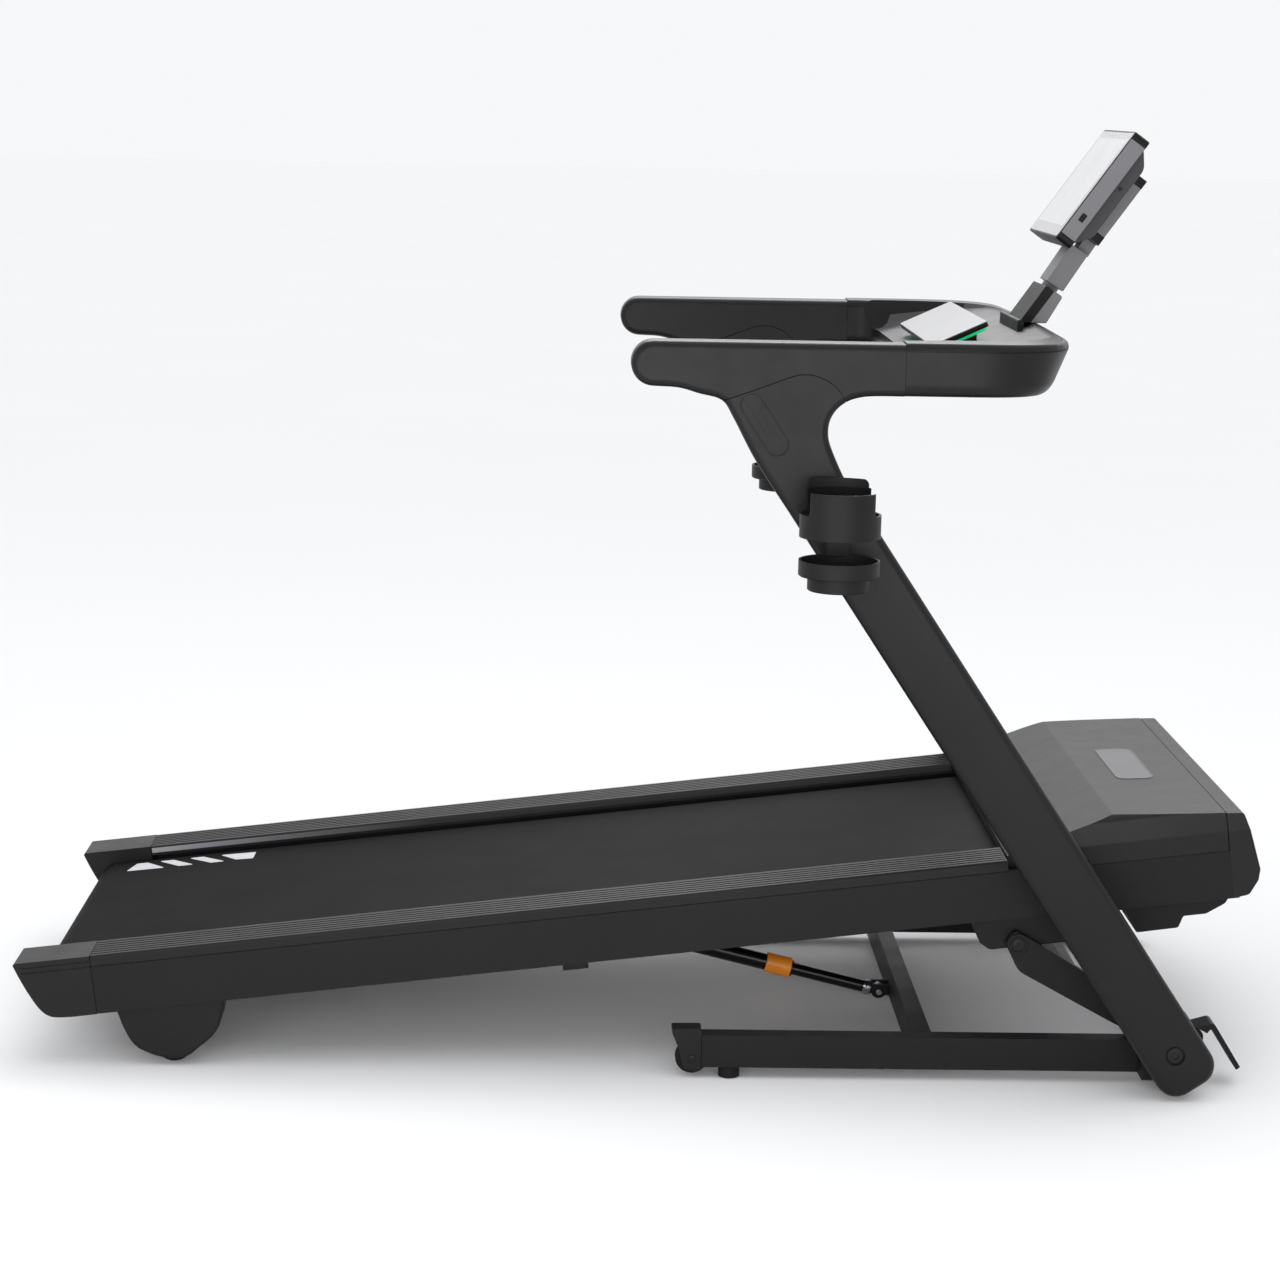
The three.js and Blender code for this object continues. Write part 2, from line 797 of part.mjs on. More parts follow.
// The front roller carries the pulley that the drive belt turns, on the user's left.
function frontRoller() {
  const r = FRONT_ROLLER.r - GAP;
  return turnedY(FRONT_ROLLER.u, frontRollerPlace.w, [
    [0, -330],
    [8, -330],
    [8, -290],
    [r, -290],
    [r, 290],
    [12, 290],
    [12, PULLEY.inner],
    [PULLEY.r, PULLEY.inner],
    [PULLEY.r, PULLEY.outer],
    [8, PULLEY.outer],
    [8, 332],
    [0, 332],
  ]);
}

function driveMotor() {
  const can = turnedY(MOTOR.u, MOTOR.w, [
    [0, 60],
    [MOTOR.r - 6, 60],
    [MOTOR.r, 66],
    [MOTOR.r, 264],
    [MOTOR.r - 6, 270],
    [0, 270],
  ]);
  const foot = box(MOTOR.u - 28, MOTOR.u + 20, 90, 240, -5.5, 25);
  return join(can, foot);
}

function motorPulley() {
  return turnedY(MOTOR.u, MOTOR.w, [
    [0, 270 + GAP],
    [10, 270 + GAP],
    [10, 280],
    [44, 280],
    [44, 300],
    [MOTOR.pulley, 300],
    [MOTOR.pulley, 327],
    [0, 327],
  ]);
}

function driveBelt() {
  return beltLoop(
    { ...frontRollerPlace, r: PULLEY.r },
    { u: MOTOR.u, w: MOTOR.w, r: MOTOR.pulley },
    3,
    306,
    324,
  );
}

// The hood's side view above its seam; inset makes the hollow inside it.
function hoodSide(inset) {
  return outline([
    [RAIL_FRONT + 2 + inset, HOOD_SEAM + GAP - (inset > 0 ? 10 : 0)],
    [CAP_SEAM - GAP - inset, HOOD_SEAM + GAP - (inset > 0 ? 10 : 0)],
    [CAP_SEAM - GAP - inset, 174.6 - inset],
    [166 + inset / 2, 189.7 - inset],
    [RAIL_FRONT + 2 + inset, 144 - inset],
  ]);
}

const hoodSection = (inset, low) =>
  outline([
    [-HOOD_HALF + inset, low],
    [HOOD_HALF - inset, low],
    [HOOD_HALF - inset, 190 - inset, 46],
    [-HOOD_HALF + inset, 190 - inset, 46],
  ]);

function motorHood() {
  const shell = fromSide(hoodSide(0), -HOOD_HALF - 5, HOOD_HALF + 5).intersect(
    alongX(hoodSection(0, 100), -40, 400, 6),
  );
  const hollow = fromSide(hoodSide(HOOD_WALL), -HOOD_HALF - 5, HOOD_HALF + 5).intersect(
    alongX(hoodSection(HOOD_WALL, 90), -40, 400, 6),
  );
  const beltMouth = box(-20, 30, -292, 292, 100, BELT_TOP + 5);
  const sideNotch = box(-20, 122, -HOOD_HALF - 5, HOOD_HALF + 5, 100, RAIL_SEAM + GAP);
  return cut(shell, hollow, beltMouth, sideNotch);
}

function hoodFrontCap() {
  const profile = (inset) =>
    outline([
      [CAP_SEAM - (inset > 0 ? 5 : 0), 37.5 + inset],
      [369 - inset, 41 + inset, 4],
      [385 - inset, 63 + inset, 4],
      [389.1 - inset, 80, 6],
      [378 - inset, 144, 10],
      [370 - inset, 172.6 - inset, 5],
      [CAP_SEAM - (inset > 0 ? 5 : 0), 174.4 - inset],
    ]);
  const shell = fromSide(profile(0), -HOOD_HALF, HOOD_HALF, 0, 3).intersect(
    alongX(hoodSection(0, 30), 340, 400, 6),
  );
  const hollow = fromSide(profile(4), -HOOD_HALF + 4, HOOD_HALF - 4, 0, 3).intersect(
    alongX(hoodSection(4, 20), 340, 400, 6),
  );
  const inletHole = box(340, 400, 230, 262, 62, 86);
  const switchHole = box(340, 400, 190, 214, 62, 86);
  return cut(shell, hollow, inletHole, switchHole);
}

function powerInlet() {
  const body = box(362, 384, 230 + GAP, 262 - GAP, 62 + GAP, 86 - GAP);
  const socket = box(370, 390, 234, 258, 66, 82);
  const prong = box(369, 380, 244.5, 247.5, 70, 78);
  return join(cut(body, socket), prong);
}

const SWITCH = { u: 378, w: 74 };
function powerSwitch() {
  return fromSide(
    outline([
      [SWITCH.u - 14, SWITCH.w - 8],
      [SWITCH.u + 4, SWITCH.w - 9],
      [SWITCH.u + 6, SWITCH.w],
      [SWITCH.u + 9, SWITCH.w + 9],
      [SWITCH.u - 14, SWITCH.w + 8],
    ]),
    192,
    212,
  );
}

// The lower cover: side walls, a floor, and the deep pan under the motor.
function lowerCover() {
  const rear = 122;
  const floorLow = 38;
  const pan = 335;
  const tray = cut(
    fromSide(
      outline([
        [rear, HOOD_SEAM],
        [rear, 60, 15],
        [150, 37.5, 15],
        [CAP_SEAM - GAP, 37.5],
        [CAP_SEAM - GAP, HOOD_SEAM],
      ]),
      -HOOD_HALF,
      HOOD_HALF,
    ),
    box(rear - 5, CAP_SEAM + 5, 3 - HOOD_HALF, HOOD_HALF - 3, floorLow + 3, HOOD_SEAM + 5),
  );
  const panOutside = fromSide(
    outline([
      [172.6, floorLow + 1],
      [191.5, -10, 4],
      [258.5, -9, 3],
      [268, 9, 3],
      [304, 9, 3],
      [336, 23, 4],
      [346, floorLow + 1],
    ]),
    -pan,
    pan,
  );
  const panInside = fromSide(
    outline([
      [176.6, floorLow + 5],
      [194, -7, 3],
      [257, -6, 3],
      [266, 12, 3],
      [302, 12, 3],
      [332, 25, 4],
      [341, floorLow + 5],
    ]),
    3 - pan,
    pan - 3,
  );
  const rearOpening = box(rear - 10, 168, -355, 355, 20, 60);
  const beltNotch = box(150, 190, 300, 330, 20, 60);
  return cut(join(cut(tray, rearOpening), panOutside), panInside, beltNotch);
}

const REAR_WHEEL = { u: -1338.8, w: -22.5, r: 29.9, half: 11, y: 338 };
function rearFoot(side) {
  const body = fromSide(
    outline([
      [-1426, RAIL_BOTTOM - GAP],
      [-1426, 36],
      [-1401.4, -19, 10],
      [-1362, -41, 14],
      [-1340, -48.4, 5],
      [-1322, -48.4, 8],
      [-1307, -38],
      [-1271, -20, 12],
      [-1251, 38],
      [-1251, RAIL_BOTTOM - GAP],
    ]),
    ...span(side, REAR_WHEEL.y - 20, REAR_WHEEL.y + 34),
    2,
  );
  const [w0, w1] = span(side, REAR_WHEEL.y - 13, REAR_WHEEL.y + 13);
  const mouth = join(
    drumY(REAR_WHEEL.u, REAR_WHEEL.w, REAR_WHEEL.r + 3, w0, w1),
    box(REAR_WHEEL.u - 25, REAR_WHEEL.u + 25, w0, w1, -60, REAR_WHEEL.w),
  );
  const [a0, a1] = span(side, REAR_WHEEL.y - 17, REAR_WHEEL.y + 22);
  return join(cut(body, mouth), drumY(REAR_WHEEL.u, REAR_WHEEL.w, 5, a0, a1, 16));
}

function rearWheel(side) {
  const y = side * REAR_WHEEL.y;
  const { r, half } = REAR_WHEEL;
  const bore = 5 + BORE_GAP;
  return turnedY(REAR_WHEEL.u, REAR_WHEEL.w, [
    [bore, y - half],
    [r - 3, y - half],
    [r, y - half + 3],
    [r, y + half - 3],
    [r - 3, y + half],
    [bore, y + half],
    [bore, y - half],
  ]);
}

// ---------------------------------------------------------------- gas strut
// Drawn along its own z, from the lower pin.
const STRUT_LENGTH = Math.hypot(STRUT_HIGH.x - STRUT_LOW.x, STRUT_HIGH.z - STRUT_LOW.z);
const STRUT_TURN = Math.atan2(STRUT_HIGH.x - STRUT_LOW.x, STRUT_HIGH.z - STRUT_LOW.z);
const ROD = { start: 12, end: 487, r: 10.5 };
const TUBE = { start: 152, end: 494, r: 14 };
const SLEEVE = { start: 150, end: 212, r: 19 };

function strutRod() {
  const rod = drumZ(0, 0, ROD.r, ROD.start, ROD.end, 20);
  const eye = drumY(0, 0, 13, -7, 7, 20);
  const pinHole = drumY(0, 0, 5 + BORE_GAP, -10, 10, 16);
  return cut(join(rod, eye), pinHole);
}

function strutCylinder() {
  const bore = ROD.r + BORE_GAP;
  return cut(
    drumZ(0, 0, TUBE.r, TUBE.start, TUBE.end, 20),
    drumZ(0, 0, bore, TUBE.start - 1, TUBE.end - 4, 20),
  );
}

function strutSleeve() {
  const ring = cut(
    drumZ(0, 0, SLEEVE.r, SLEEVE.start, SLEEVE.end, 20),
    drumZ(0, 0, TUBE.r + GAP, SLEEVE.start - 1, SLEEVE.end + 1, 20),
  );
  const tab = box(-26, -SLEEVE.r + 2, -8, 8, SLEEVE.start + 2, SLEEVE.start + 20);
  return join(ring, tab);
}

function strutEye() {
  const cap = cut(
    drumZ(0, 0, TUBE.r + 3, TUBE.end - 40, TUBE.end + 5, 20),
    drumZ(0, 0, TUBE.r + GAP, TUBE.end - 41, TUBE.end + 1, 20),
  );
  const stem = drumZ(0, 0, 5, TUBE.end + 4, STRUT_LENGTH - 6, 16);
  const eye = drumY(0, STRUT_LENGTH, 10, -7, 7, 20);
  return join(cap, stem, eye);
}

// ---------------------------------------------------------------- incline actuator
// Drawn along its own z, which points up from the lift frame's lug to the upper pin.
const LIFT_LUG = { s: 110, t: 16 };

function inclineMotor() {
  const sleeve = drumZ(0, 0, 14, -98, 12, 20);
  const gearbox = box(-18, 32, -16, 70, 12, 30);
  const motor = drumZ(14, 50, 18, -58, 13, 20);
  const bore = drumZ(0, 0, 10 + BORE_GAP, -99, -6.5, 20);
  const pinHole = drumY(0, 0, 5 + BORE_GAP, -20, 20, 16);
  return cut(join(sleeve, gearbox, motor), bore, pinHole);
}

function inclineScrew(length) {
  return drumZ(0, 0, 10, -length + 6, -86, 20);
}

// ---------------------------------------------------------------- base cross members
function baseCrossTube() {
  const { x, z } = STRUT_LOW;
  const [rear, front] = [436, 464];
  const end = BASE_HALF - TUBE_WIDE - GAP;
  const tube = cut(
    box(rear, front, -end, end, TUBE_LOW, TUBE_HIGH),
    box(
      rear + TUBE_WALL,
      front - TUBE_WALL,
      -end - 1,
      end + 1,
      TUBE_LOW + TUBE_WALL,
      TUBE_HIGH - TUBE_WALL,
    ),
  );
  const ears = SIDES.map(([, side]) =>
    cut(
      box(x - 12, rear + 1, ...span(side, 11, 15), z - 5, z + 14),
      drumY(x, z, 5 + BORE_GAP, -20, 20, 16),
    ),
  );
  return join(tube, ...ears);
}

function baseFrontTube() {
  const end = BASE_HALF - TUBE_WIDE - GAP;
  const [rear, front, top] = [862, 889, 58];
  return cut(
    box(rear, front, -end, end, TUBE_LOW, top),
    box(
      rear + TUBE_WALL,
      front - TUBE_WALL,
      -end - 1,
      end + 1,
      TUBE_LOW + TUBE_WALL,
      top - TUBE_WALL,
    ),
  );
}

// ---------------------------------------------------------------- the whole object
const group = (x, z, turn = 0) => {
  const made = new THREE.Group();
  made.position.set(x, 0, z);
  made.rotation.y = turn;
  return made;
};

function addPairs(parent, pieces) {
  for (const [name, make, look] of pieces) {
    for (const [hand, side] of SIDES) {
      part(parent, `${name}_${hand}`, make(side), look());
    }
  }
}

function addSingles(parent, pieces) {
  for (const [name, make, look] of pieces) part(parent, name, make(), look());
}

function baseGroup() {
  const base = group(0, 0);
  addPairs(base, [
    ["base_rail", baseRail, looks.paintedSteel],
    ["rail_end_cap", railEndCap, looks.plastic],
    ["transport_wheel", transportWheel, looks.rubber],
    ["levelling_foot", (side) => foot(145, side, 16.5), looks.rubber],
    ["front_foot", (side) => foot(850, side, 16), looks.rubber],
    ["upright", upright, looks.paintedSteel],
    ["handrail_pod", pod, looks.plastic],
    ["handrail", handrail, looks.plastic],
    ["cup_holder", cupHolder, looks.plastic],
    ["lift_pin", liftPin, looks.steel],
  ]);
  addSingles(base, [
    ["base_cross_tube", baseCrossTube, looks.paintedSteel],
    ["base_front_tube", baseFrontTube, looks.paintedSteel],
    ["console_shell", consoleShell, looks.lightPlastic],
    ["safety_key", safetyKey, looks.red],
    ["screen_post", screenPost, looks.plastic],
  ]);
  return base;
}

function panelGroup() {
  const panel = group(PANEL.x, PANEL.z, -PANEL_TILT);
  addSingles(panel, [
    ["console_panel", consolePanel, looks.glass],
    ["console_light_strip", consoleLightStrip, looks.light],
  ]);
  return panel;
}

function screenGroup() {
  const screen = group(SCREEN.x, SCREEN.z, SCREEN_TILT);
  addSingles(screen, [
    ["screen_mount", screenMount, looks.plastic],
    ["screen_housing", screenHousing, looks.alloy],
    ["screen_glass", screenGlass, looks.glass],
  ]);
  return screen;
}

function armGroup() {
  const arm = group(ARM_FOOT.x, ARM_FOOT.z, ARM_LEAN);
  addSingles(arm, [["screen_arm", screenArm, looks.alloy]]);
  return arm;
}

function liftGroup() {
  const lift = group(LIFT_PIVOT.x, LIFT_PIVOT.z, -ARM_ANGLE);
  addSingles(lift, [["lift_frame", liftFrame, looks.paintedSteel]]);
  return lift;
}

function deckGroup() {
  const deck = group(LIFT_PIVOT.x, LIFT_PIVOT.z, -DECK_SLOPE);
  addSingles(deck, [
    ["deck_frame", deckFrame, looks.paintedSteel],
    ["deck_board", deckBoard, looks.board],
    ["running_belt", runningBelt, looks.belt],
    ["rear_roller", rearRoller, looks.steel],
    ["front_roller", frontRoller, looks.steel],
    ["drive_motor", driveMotor, looks.steel],
    ["motor_pulley", motorPulley, looks.steel],
    ["drive_belt", driveBelt, looks.rubber],
    ["motor_hood", motorHood, looks.lightPlastic],
    ["hood_front_cap", hoodFrontCap, looks.lightPlastic],
    ["lower_cover", lowerCover, looks.plastic],
    ["power_inlet", powerInlet, looks.plastic],
    ["power_switch", powerSwitch, looks.red],
  ]);
  addPairs(deck, [
    ["foot_rail", footRail, looks.plastic],
    ["rail_end_cover", railEndCover, looks.plastic],
    ["rear_foot", rearFoot, looks.plastic],
    ["rear_wheel", rearWheel, looks.rubber],
  ]);
  deck.add(actuatorGroup());
  return deck;
}

// The actuator hangs from its ears and points at the lift frame's lug.
function actuatorGroup() {
  const turn = ARM_ANGLE - DECK_SLOPE;
  const lugU = LIFT_LUG.s * Math.cos(turn) - LIFT_LUG.t * Math.sin(turn);
  const lugW = LIFT_LUG.s * Math.sin(turn) + LIFT_LUG.t * Math.cos(turn);
  const du = ACTUATOR.u - lugU;
  const dw = ACTUATOR.w - lugW;
  const actuator = group(ACTUATOR.u, ACTUATOR.w, Math.atan2(du, dw));
  addSingles(actuator, [
    ["incline_motor", inclineMotor, looks.steel],
    ["incline_screw", () => inclineScrew(Math.hypot(du, dw)), looks.steel],
  ]);
  return actuator;
}

function strutGroup() {
  const strut = group(STRUT_LOW.x, STRUT_LOW.z, STRUT_TURN);
  addSingles(strut, [
    ["strut_pin", () => drumY(0, 0, 5, -16, 16, 16), looks.steel],
    ["strut_rod", strutRod, looks.steel],
    ["strut_cylinder", strutCylinder, looks.paintedSteel],
    ["strut_release_sleeve", strutSleeve, looks.orange],
    ["strut_eye", strutEye, looks.steel],
  ]);
  return strut;
}

const treadmill = new THREE.Group();
treadmill.add(
  baseGroup(),
  panelGroup(),
  screenGroup(),
  armGroup(),
  liftGroup(),
  deckGroup(),
  strutGroup(),
);

export default treadmill;
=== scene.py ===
"""A folding treadmill with a powered incline, in a plain pale studio."""
import json
import math

import bmesh
import bpy
from mathutils import Matrix, Vector


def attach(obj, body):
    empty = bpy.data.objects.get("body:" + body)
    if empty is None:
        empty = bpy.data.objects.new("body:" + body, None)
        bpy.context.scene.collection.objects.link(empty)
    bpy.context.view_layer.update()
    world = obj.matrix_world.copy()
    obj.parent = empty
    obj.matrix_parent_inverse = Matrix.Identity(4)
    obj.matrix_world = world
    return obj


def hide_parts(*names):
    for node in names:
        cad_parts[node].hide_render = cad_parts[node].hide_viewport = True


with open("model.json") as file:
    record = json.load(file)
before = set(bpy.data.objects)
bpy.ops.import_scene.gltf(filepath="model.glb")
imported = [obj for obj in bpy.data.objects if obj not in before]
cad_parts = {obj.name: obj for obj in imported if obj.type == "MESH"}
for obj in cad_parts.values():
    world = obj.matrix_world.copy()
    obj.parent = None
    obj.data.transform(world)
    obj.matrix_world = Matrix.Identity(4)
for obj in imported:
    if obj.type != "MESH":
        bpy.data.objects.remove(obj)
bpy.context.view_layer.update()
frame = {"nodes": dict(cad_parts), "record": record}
nodes = frame["nodes"]
scene = bpy.context.scene
scene.view_settings.view_transform = "Standard"

MM = 0.001
# the deck's own frame: origin on the lift pivot, X along the deck, Z out of it
SLOPE = math.radians(6.85)
DECK = Matrix.Translation((0.597, 0, 0.212)) @ Matrix.Rotation(-SLOPE, 4, "Y")
# the uprights, in mm: how far they lean back from level, and the bolt at their foot as (x, z)
LEAN = math.radians(56.1)
BASE_PIVOT = (825.3, 75.6)
SIDES = (("right", -1), ("left", 1))


# ------------------------------------------------------------------ camera, light, floor
def look(yaw, pitch, roll):
    """The camera's rotation, from its turn about Z, its fall below level and its roll."""
    forward = Vector((math.sin(yaw) * math.cos(pitch), math.cos(yaw) * math.cos(pitch), -math.sin(pitch)))
    right = Vector((math.cos(yaw), -math.sin(yaw), 0))
    up = right.cross(forward)
    x = math.cos(roll) * right + math.sin(roll) * up
    y = -math.sin(roll) * right + math.cos(roll) * up
    return Matrix((x, y, -forward)).transposed().to_4x4()


camera = bpy.data.objects.new("camera", bpy.data.cameras.new("camera"))
camera.data.lens = 82.97
camera.data.sensor_width = 36
camera.matrix_world = Matrix.Translation((-0.123, -4.823, 1.510)) @ look(
    math.radians(1.49532), math.radians(10.42211), math.radians(1.09385)
)
scene.collection.objects.link(camera)
scene.camera = camera


def area_light(name, at, to, size, power):
    data = bpy.data.lights.new(name, "AREA")
    data.shape = "RECTANGLE"
    data.size, data.size_y = size
    data.energy = power
    light = bpy.data.objects.new(name, data)
    direction = Vector(to) - Vector(at)
    light.matrix_world = Matrix.Translation(at) @ direction.to_track_quat("-Z", "Y").to_matrix().to_4x4()
    scene.collection.objects.link(light)
    return light


area_light("overhead", (0.7, 1.3, 3.6), (0.3, 0.0, 0.5), (3.2, 2.0), 16)
gloss = area_light("gloss_overhead", (0.9, 2.4, 3.4), (0.3, 0.0, 0.6), (3.4, 2.2), 150)
gloss.visible_diffuse = False
area_light("front_low", (-0.4, -3.2, 0.9), (0.1, 0.0, 0.15), (3.4, 0.9), 44)
area_light("side_left", (-3.4, -1.6, 2.3), (0.0, 0.0, 0.6), (1.8, 2.2), 10)
sun = bpy.data.lights.new("sky_sun", "SUN")
sun.energy = 0.55
sun.angle = math.radians(70)
sun_object = bpy.data.objects.new("sky_sun", sun)
sun_object.matrix_world = Matrix.Rotation(math.radians(14), 4, "Y")
scene.collection.objects.link(sun_object)

world = bpy.data.worlds.new("studio")
world.use_nodes = True
backdrop = world.node_tree.nodes["Background"].inputs
backdrop["Color"].default_value = (0.93, 0.935, 0.945, 1)
backdrop["Strength"].default_value = 1.0
scene.world = world


# ------------------------------------------------------------------ materials
class Nodes:
    """A short way to write a node tree."""

    def __init__(self, name):
        self.material = bpy.data.materials.new(name)
        self.material.use_nodes = True
        self.tree = self.material.node_tree
        self.shader = self.tree.nodes["Principled BSDF"]

    def add(self, kind, inputs=(), **settings):
        node = self.tree.nodes.new(kind)
        for key, value in settings.items():
            setattr(node, key, value)
        for key, value in dict(inputs).items():
            self.put(node, key, value)
        return node

    def put(self, node, key, value):
        socket = node.inputs[key]
        if isinstance(value, bpy.types.NodeSocket):
            self.tree.links.new(value, socket)
        else:
            socket.default_value = value

    def ramp(self, fac, stops):
        node = self.add("ShaderNodeValToRGB", {"Fac": fac})
        while len(node.color_ramp.elements) < len(stops):
            node.color_ramp.elements.new(0.5)
        for element, (position, color) in zip(node.color_ramp.elements, stops):
            element.position = position
            element.color = (*color, 1)
        return node.outputs["Color"]

    def noise(self, scale, detail, roughness, vector):
        inputs = {"Scale": scale, "Detail": detail, "Roughness": roughness, "Vector": vector}
        return self.add("ShaderNodeTexNoise", inputs).outputs["Fac"]

    def place(self):
        return self.add("ShaderNodeTexCoord").outputs["Object"]

    def bump(self, height, distance, strength):
        inputs = {"Height": height, "Distance": distance, "Strength": strength}
        return self.add("ShaderNodeBump", inputs).outputs["Normal"]

    def spread(self, value, low, high, start=0.0, end=1.0):
        """Stretches a value that runs from start to end over low to high."""
        inputs = {"Value": value, "From Min": start, "From Max": end, "To Min": low, "To Max": high}
        return self.add("ShaderNodeMapRange", inputs).outputs["Result"]

    def set(self, **values):
        names = {"color": "Base Color", "rough": "Roughness", "metal": "Metallic", "normal": "Normal",
                 "coat": "Coat Weight", "coat_rough": "Coat Roughness", "emit": "Emission Color",
                 "emit_strength": "Emission Strength", "specular": "Specular IOR Level"}
        for key, value in values.items():
            self.put(self.shader, names[key], value)
        return self.material


COOL = 0.09     # how much bluer than neutral the greys are
SMUDGE = 0.05   # how far handling marks change the roughness


def grey(value, warm):
    return (value * (1 + warm), value, value * (1 + COOL - warm))


def grained(name, tone, rough, grain, depth, metal=0.0, coat=0.0, tint=0.0, spread=0.16):
    """Moulded or powder-coated surface: fine grain and pits, slow colour drift and faint handling marks."""
    n = Nodes(name)
    where = n.place()
    fine = n.noise(grain, 2, 0.6, where)
    cells = n.add("ShaderNodeTexVoronoi", {"Vector": where, "Scale": grain * 0.55}, feature="F1")
    pits = cells.outputs["Distance"]
    slow = n.noise(3.1, 4, 0.6, where)
    marks = n.noise(17.0, 5, 0.7, where)
    low, high = grey(tone * (1 - spread), tint), grey(tone * (1 + spread), tint)
    color = n.ramp(slow, [(0.3, low), (0.7, high)])
    speck = n.ramp(fine, [(0.35, (0.86, 0.86, 0.86)), (0.7, (1.12, 1.12, 1.12))])
    mixed = n.add("ShaderNodeMix", {"Factor": 1.0}, data_type="RGBA", blend_type="MULTIPLY")
    n.tree.links.new(color, mixed.inputs[6])
    n.tree.links.new(speck, mixed.inputs[7])
    roughness = n.spread(marks, rough - SMUDGE, rough + SMUDGE, 0.25, 0.75)
    height = n.add("ShaderNodeMath", {0: fine, 1: pits}, operation="ADD").outputs[0]
    normal = n.bump(height, depth, 0.55)
    return n.set(color=mixed.outputs[2], rough=roughness, normal=normal, metal=metal, coat=coat, coat_rough=0.3,
                 specular=0.20)


LOOKS = {
    "paint": grained("charcoal_powder_coat", 0.0062, 0.46, 1100, 0.00010, tint=0.02),
    "plastic": grained("charcoal_moulding", 0.0072, 0.50, 1000, 0.00014, tint=0.02),
    "satin": grained("satin_moulding", 0.0085, 0.38, 1300, 0.00008, tint=0.02),
    "hood": grained("hood_moulding", 0.0110, 0.33, 1500, 0.00006, tint=0.03),
    "console_top": grained("console_top_grain", 0.080, 0.48, 700, 0.00030, tint=0.03, spread=0.10),
    "black": grained("black_moulding", 0.0032, 0.5, 900, 0.00010),
    "rubber": grained("black_rubber", 0.0055, 0.75, 500, 0.00020),
    "screen": grained("blasted_grey_metal", 0.165, 0.40, 2200, 0.00005, metal=0.0, tint=0.03, spread=0.08),
    "screen_dark": grained("dark_screen_back", 0.05, 0.42, 1500, 0.00005, tint=0.03),
    "steel": grained("plated_steel", 0.42, 0.30, 1800, 0.00003, metal=1.0, spread=0.1),
    "black_steel": grained("black_steel", 0.006, 0.22, 1200, 0.00003, metal=0.6, coat=0.4),
}


def drift(color, low, high):
    """Two stops of a ramp, a colour made a little darker and a little lighter."""
    return [(0.3, tuple(c * low for c in color)), (0.7, tuple(min(1, c * high) for c in color))]


def tinted(name, color, rough):
    """A coloured surface with fine grain and slow drift."""
    n = Nodes(name)
    where = n.place()
    fine = n.noise(1100, 2, 0.6, where)
    slow = n.noise(11, 4, 0.6, where)
    base = n.ramp(slow, drift(color, 0.88, 1.08))
    return n.set(color=base, rough=n.spread(slow, rough - 0.08, rough + 0.08), normal=n.bump(fine, 0.00008, 0.5))


LOOKS["orange"] = tinted("orange_sleeve", (0.78, 0.24, 0.014), 0.42)
LOOKS["red"] = tinted("red_moulding_warm", (0.42, 0.012, 0.010), 0.42)
LOOKS["board"] = tinted("waxed_fibreboard", (0.10, 0.068, 0.045), 0.6)
LOOKS["white_print"] = tinted("white_print", (0.60, 0.60, 0.62), 0.5)


def stage_floor():
    """A wide pale floor, a hair below the feet."""
    n = Nodes("studio_floor")
    slow = n.noise(0.7, 3, 0.5, n.place())
    tone = n.ramp(slow, [(0.3, (0.828, 0.83, 0.838)), (0.7, (0.838, 0.84, 0.848))])
    n.set(color=tone, rough=0.9, specular=0.1)
    mesh = bpy.data.meshes.new("studio_floor")
    half = 60
    corners = [(-half, -half, 0), (half, -half, 0), (half, half, 0), (-half, half, 0)]
    mesh.from_pydata(corners, [], [(0, 1, 2, 3)])
    mesh.materials.append(n.material)
    floor = bpy.data.objects.new("studio_floor", mesh)
    floor.location.z = -0.0005
    scene.collection.objects.link(floor)


stage_floor()


# ------------------------------------------------------------------ mesh tools, in millimetres
def rounded(points, segments=8):
    """A closed outline whose corners are true arcs: each point is (a, b) or (a, b, radius)."""
    out = []
    count = len(points)
    for i, point in enumerate(points):
        corner = Vector(point[:2])
        radius = point[2] if len(point) > 2 else 0
        before = (Vector(points[i - 1][:2]) - corner).normalized()
        after = (Vector(points[(i + 1) % count][:2]) - corner).normalized()
        half = before.angle(after) / 2 if radius else 0
        if not radius or half > math.pi / 2 - 0.01:
            out.append(corner)
            continue
        reach = radius / math.tan(half)
        centre = corner + (before + after).normalized() * (radius / math.sin(half))
        start = corner + before * reach - centre
        sweep = math.pi - 2 * half
        turn = 1 if before.x * after.y - before.y * after.x < 0 else -1
        steps = max(2, int(segments * sweep / (math.pi / 2)) + 1)
        for k in range(steps + 1):
            angle = turn * sweep * k / steps
            out.append(centre + Vector((start.x * math.cos(angle) - start.y * math.sin(angle),
                                        start.x * math.sin(angle) + start.y * math.cos(angle))))
    return out


def spline(points, steps=8):
    """A smooth open curve through the points (Catmull-Rom)."""
    pts = [Vector(p) for p in points]
    pts = [2 * pts[0] - pts[1]] + pts + [2 * pts[-1] - pts[-2]]
    out = []
    for i in range(1, len(pts) - 2):
        a, b, c, d = pts[i - 1:i + 3]
        for k in range(steps):
            t = k / steps
            out.append(0.5 * ((2 * b) + (c - a) * t + (2 * a - 5 * b + 4 * c - d) * t * t
                              + (3 * b - a - 3 * c + d) * t ** 3))
    out.append(pts[-2])
    return out


def clean(points, tolerance=0.05):
    """The outline without points closer together than the tolerance."""
    kept = []
    for p in points:
        if not kept or (Vector(p) - Vector(kept[-1])).length > tolerance:
            kept.append(Vector(p))
    if (kept[0] - kept[-1]).length <= tolerance:
        kept.pop()
    return kept


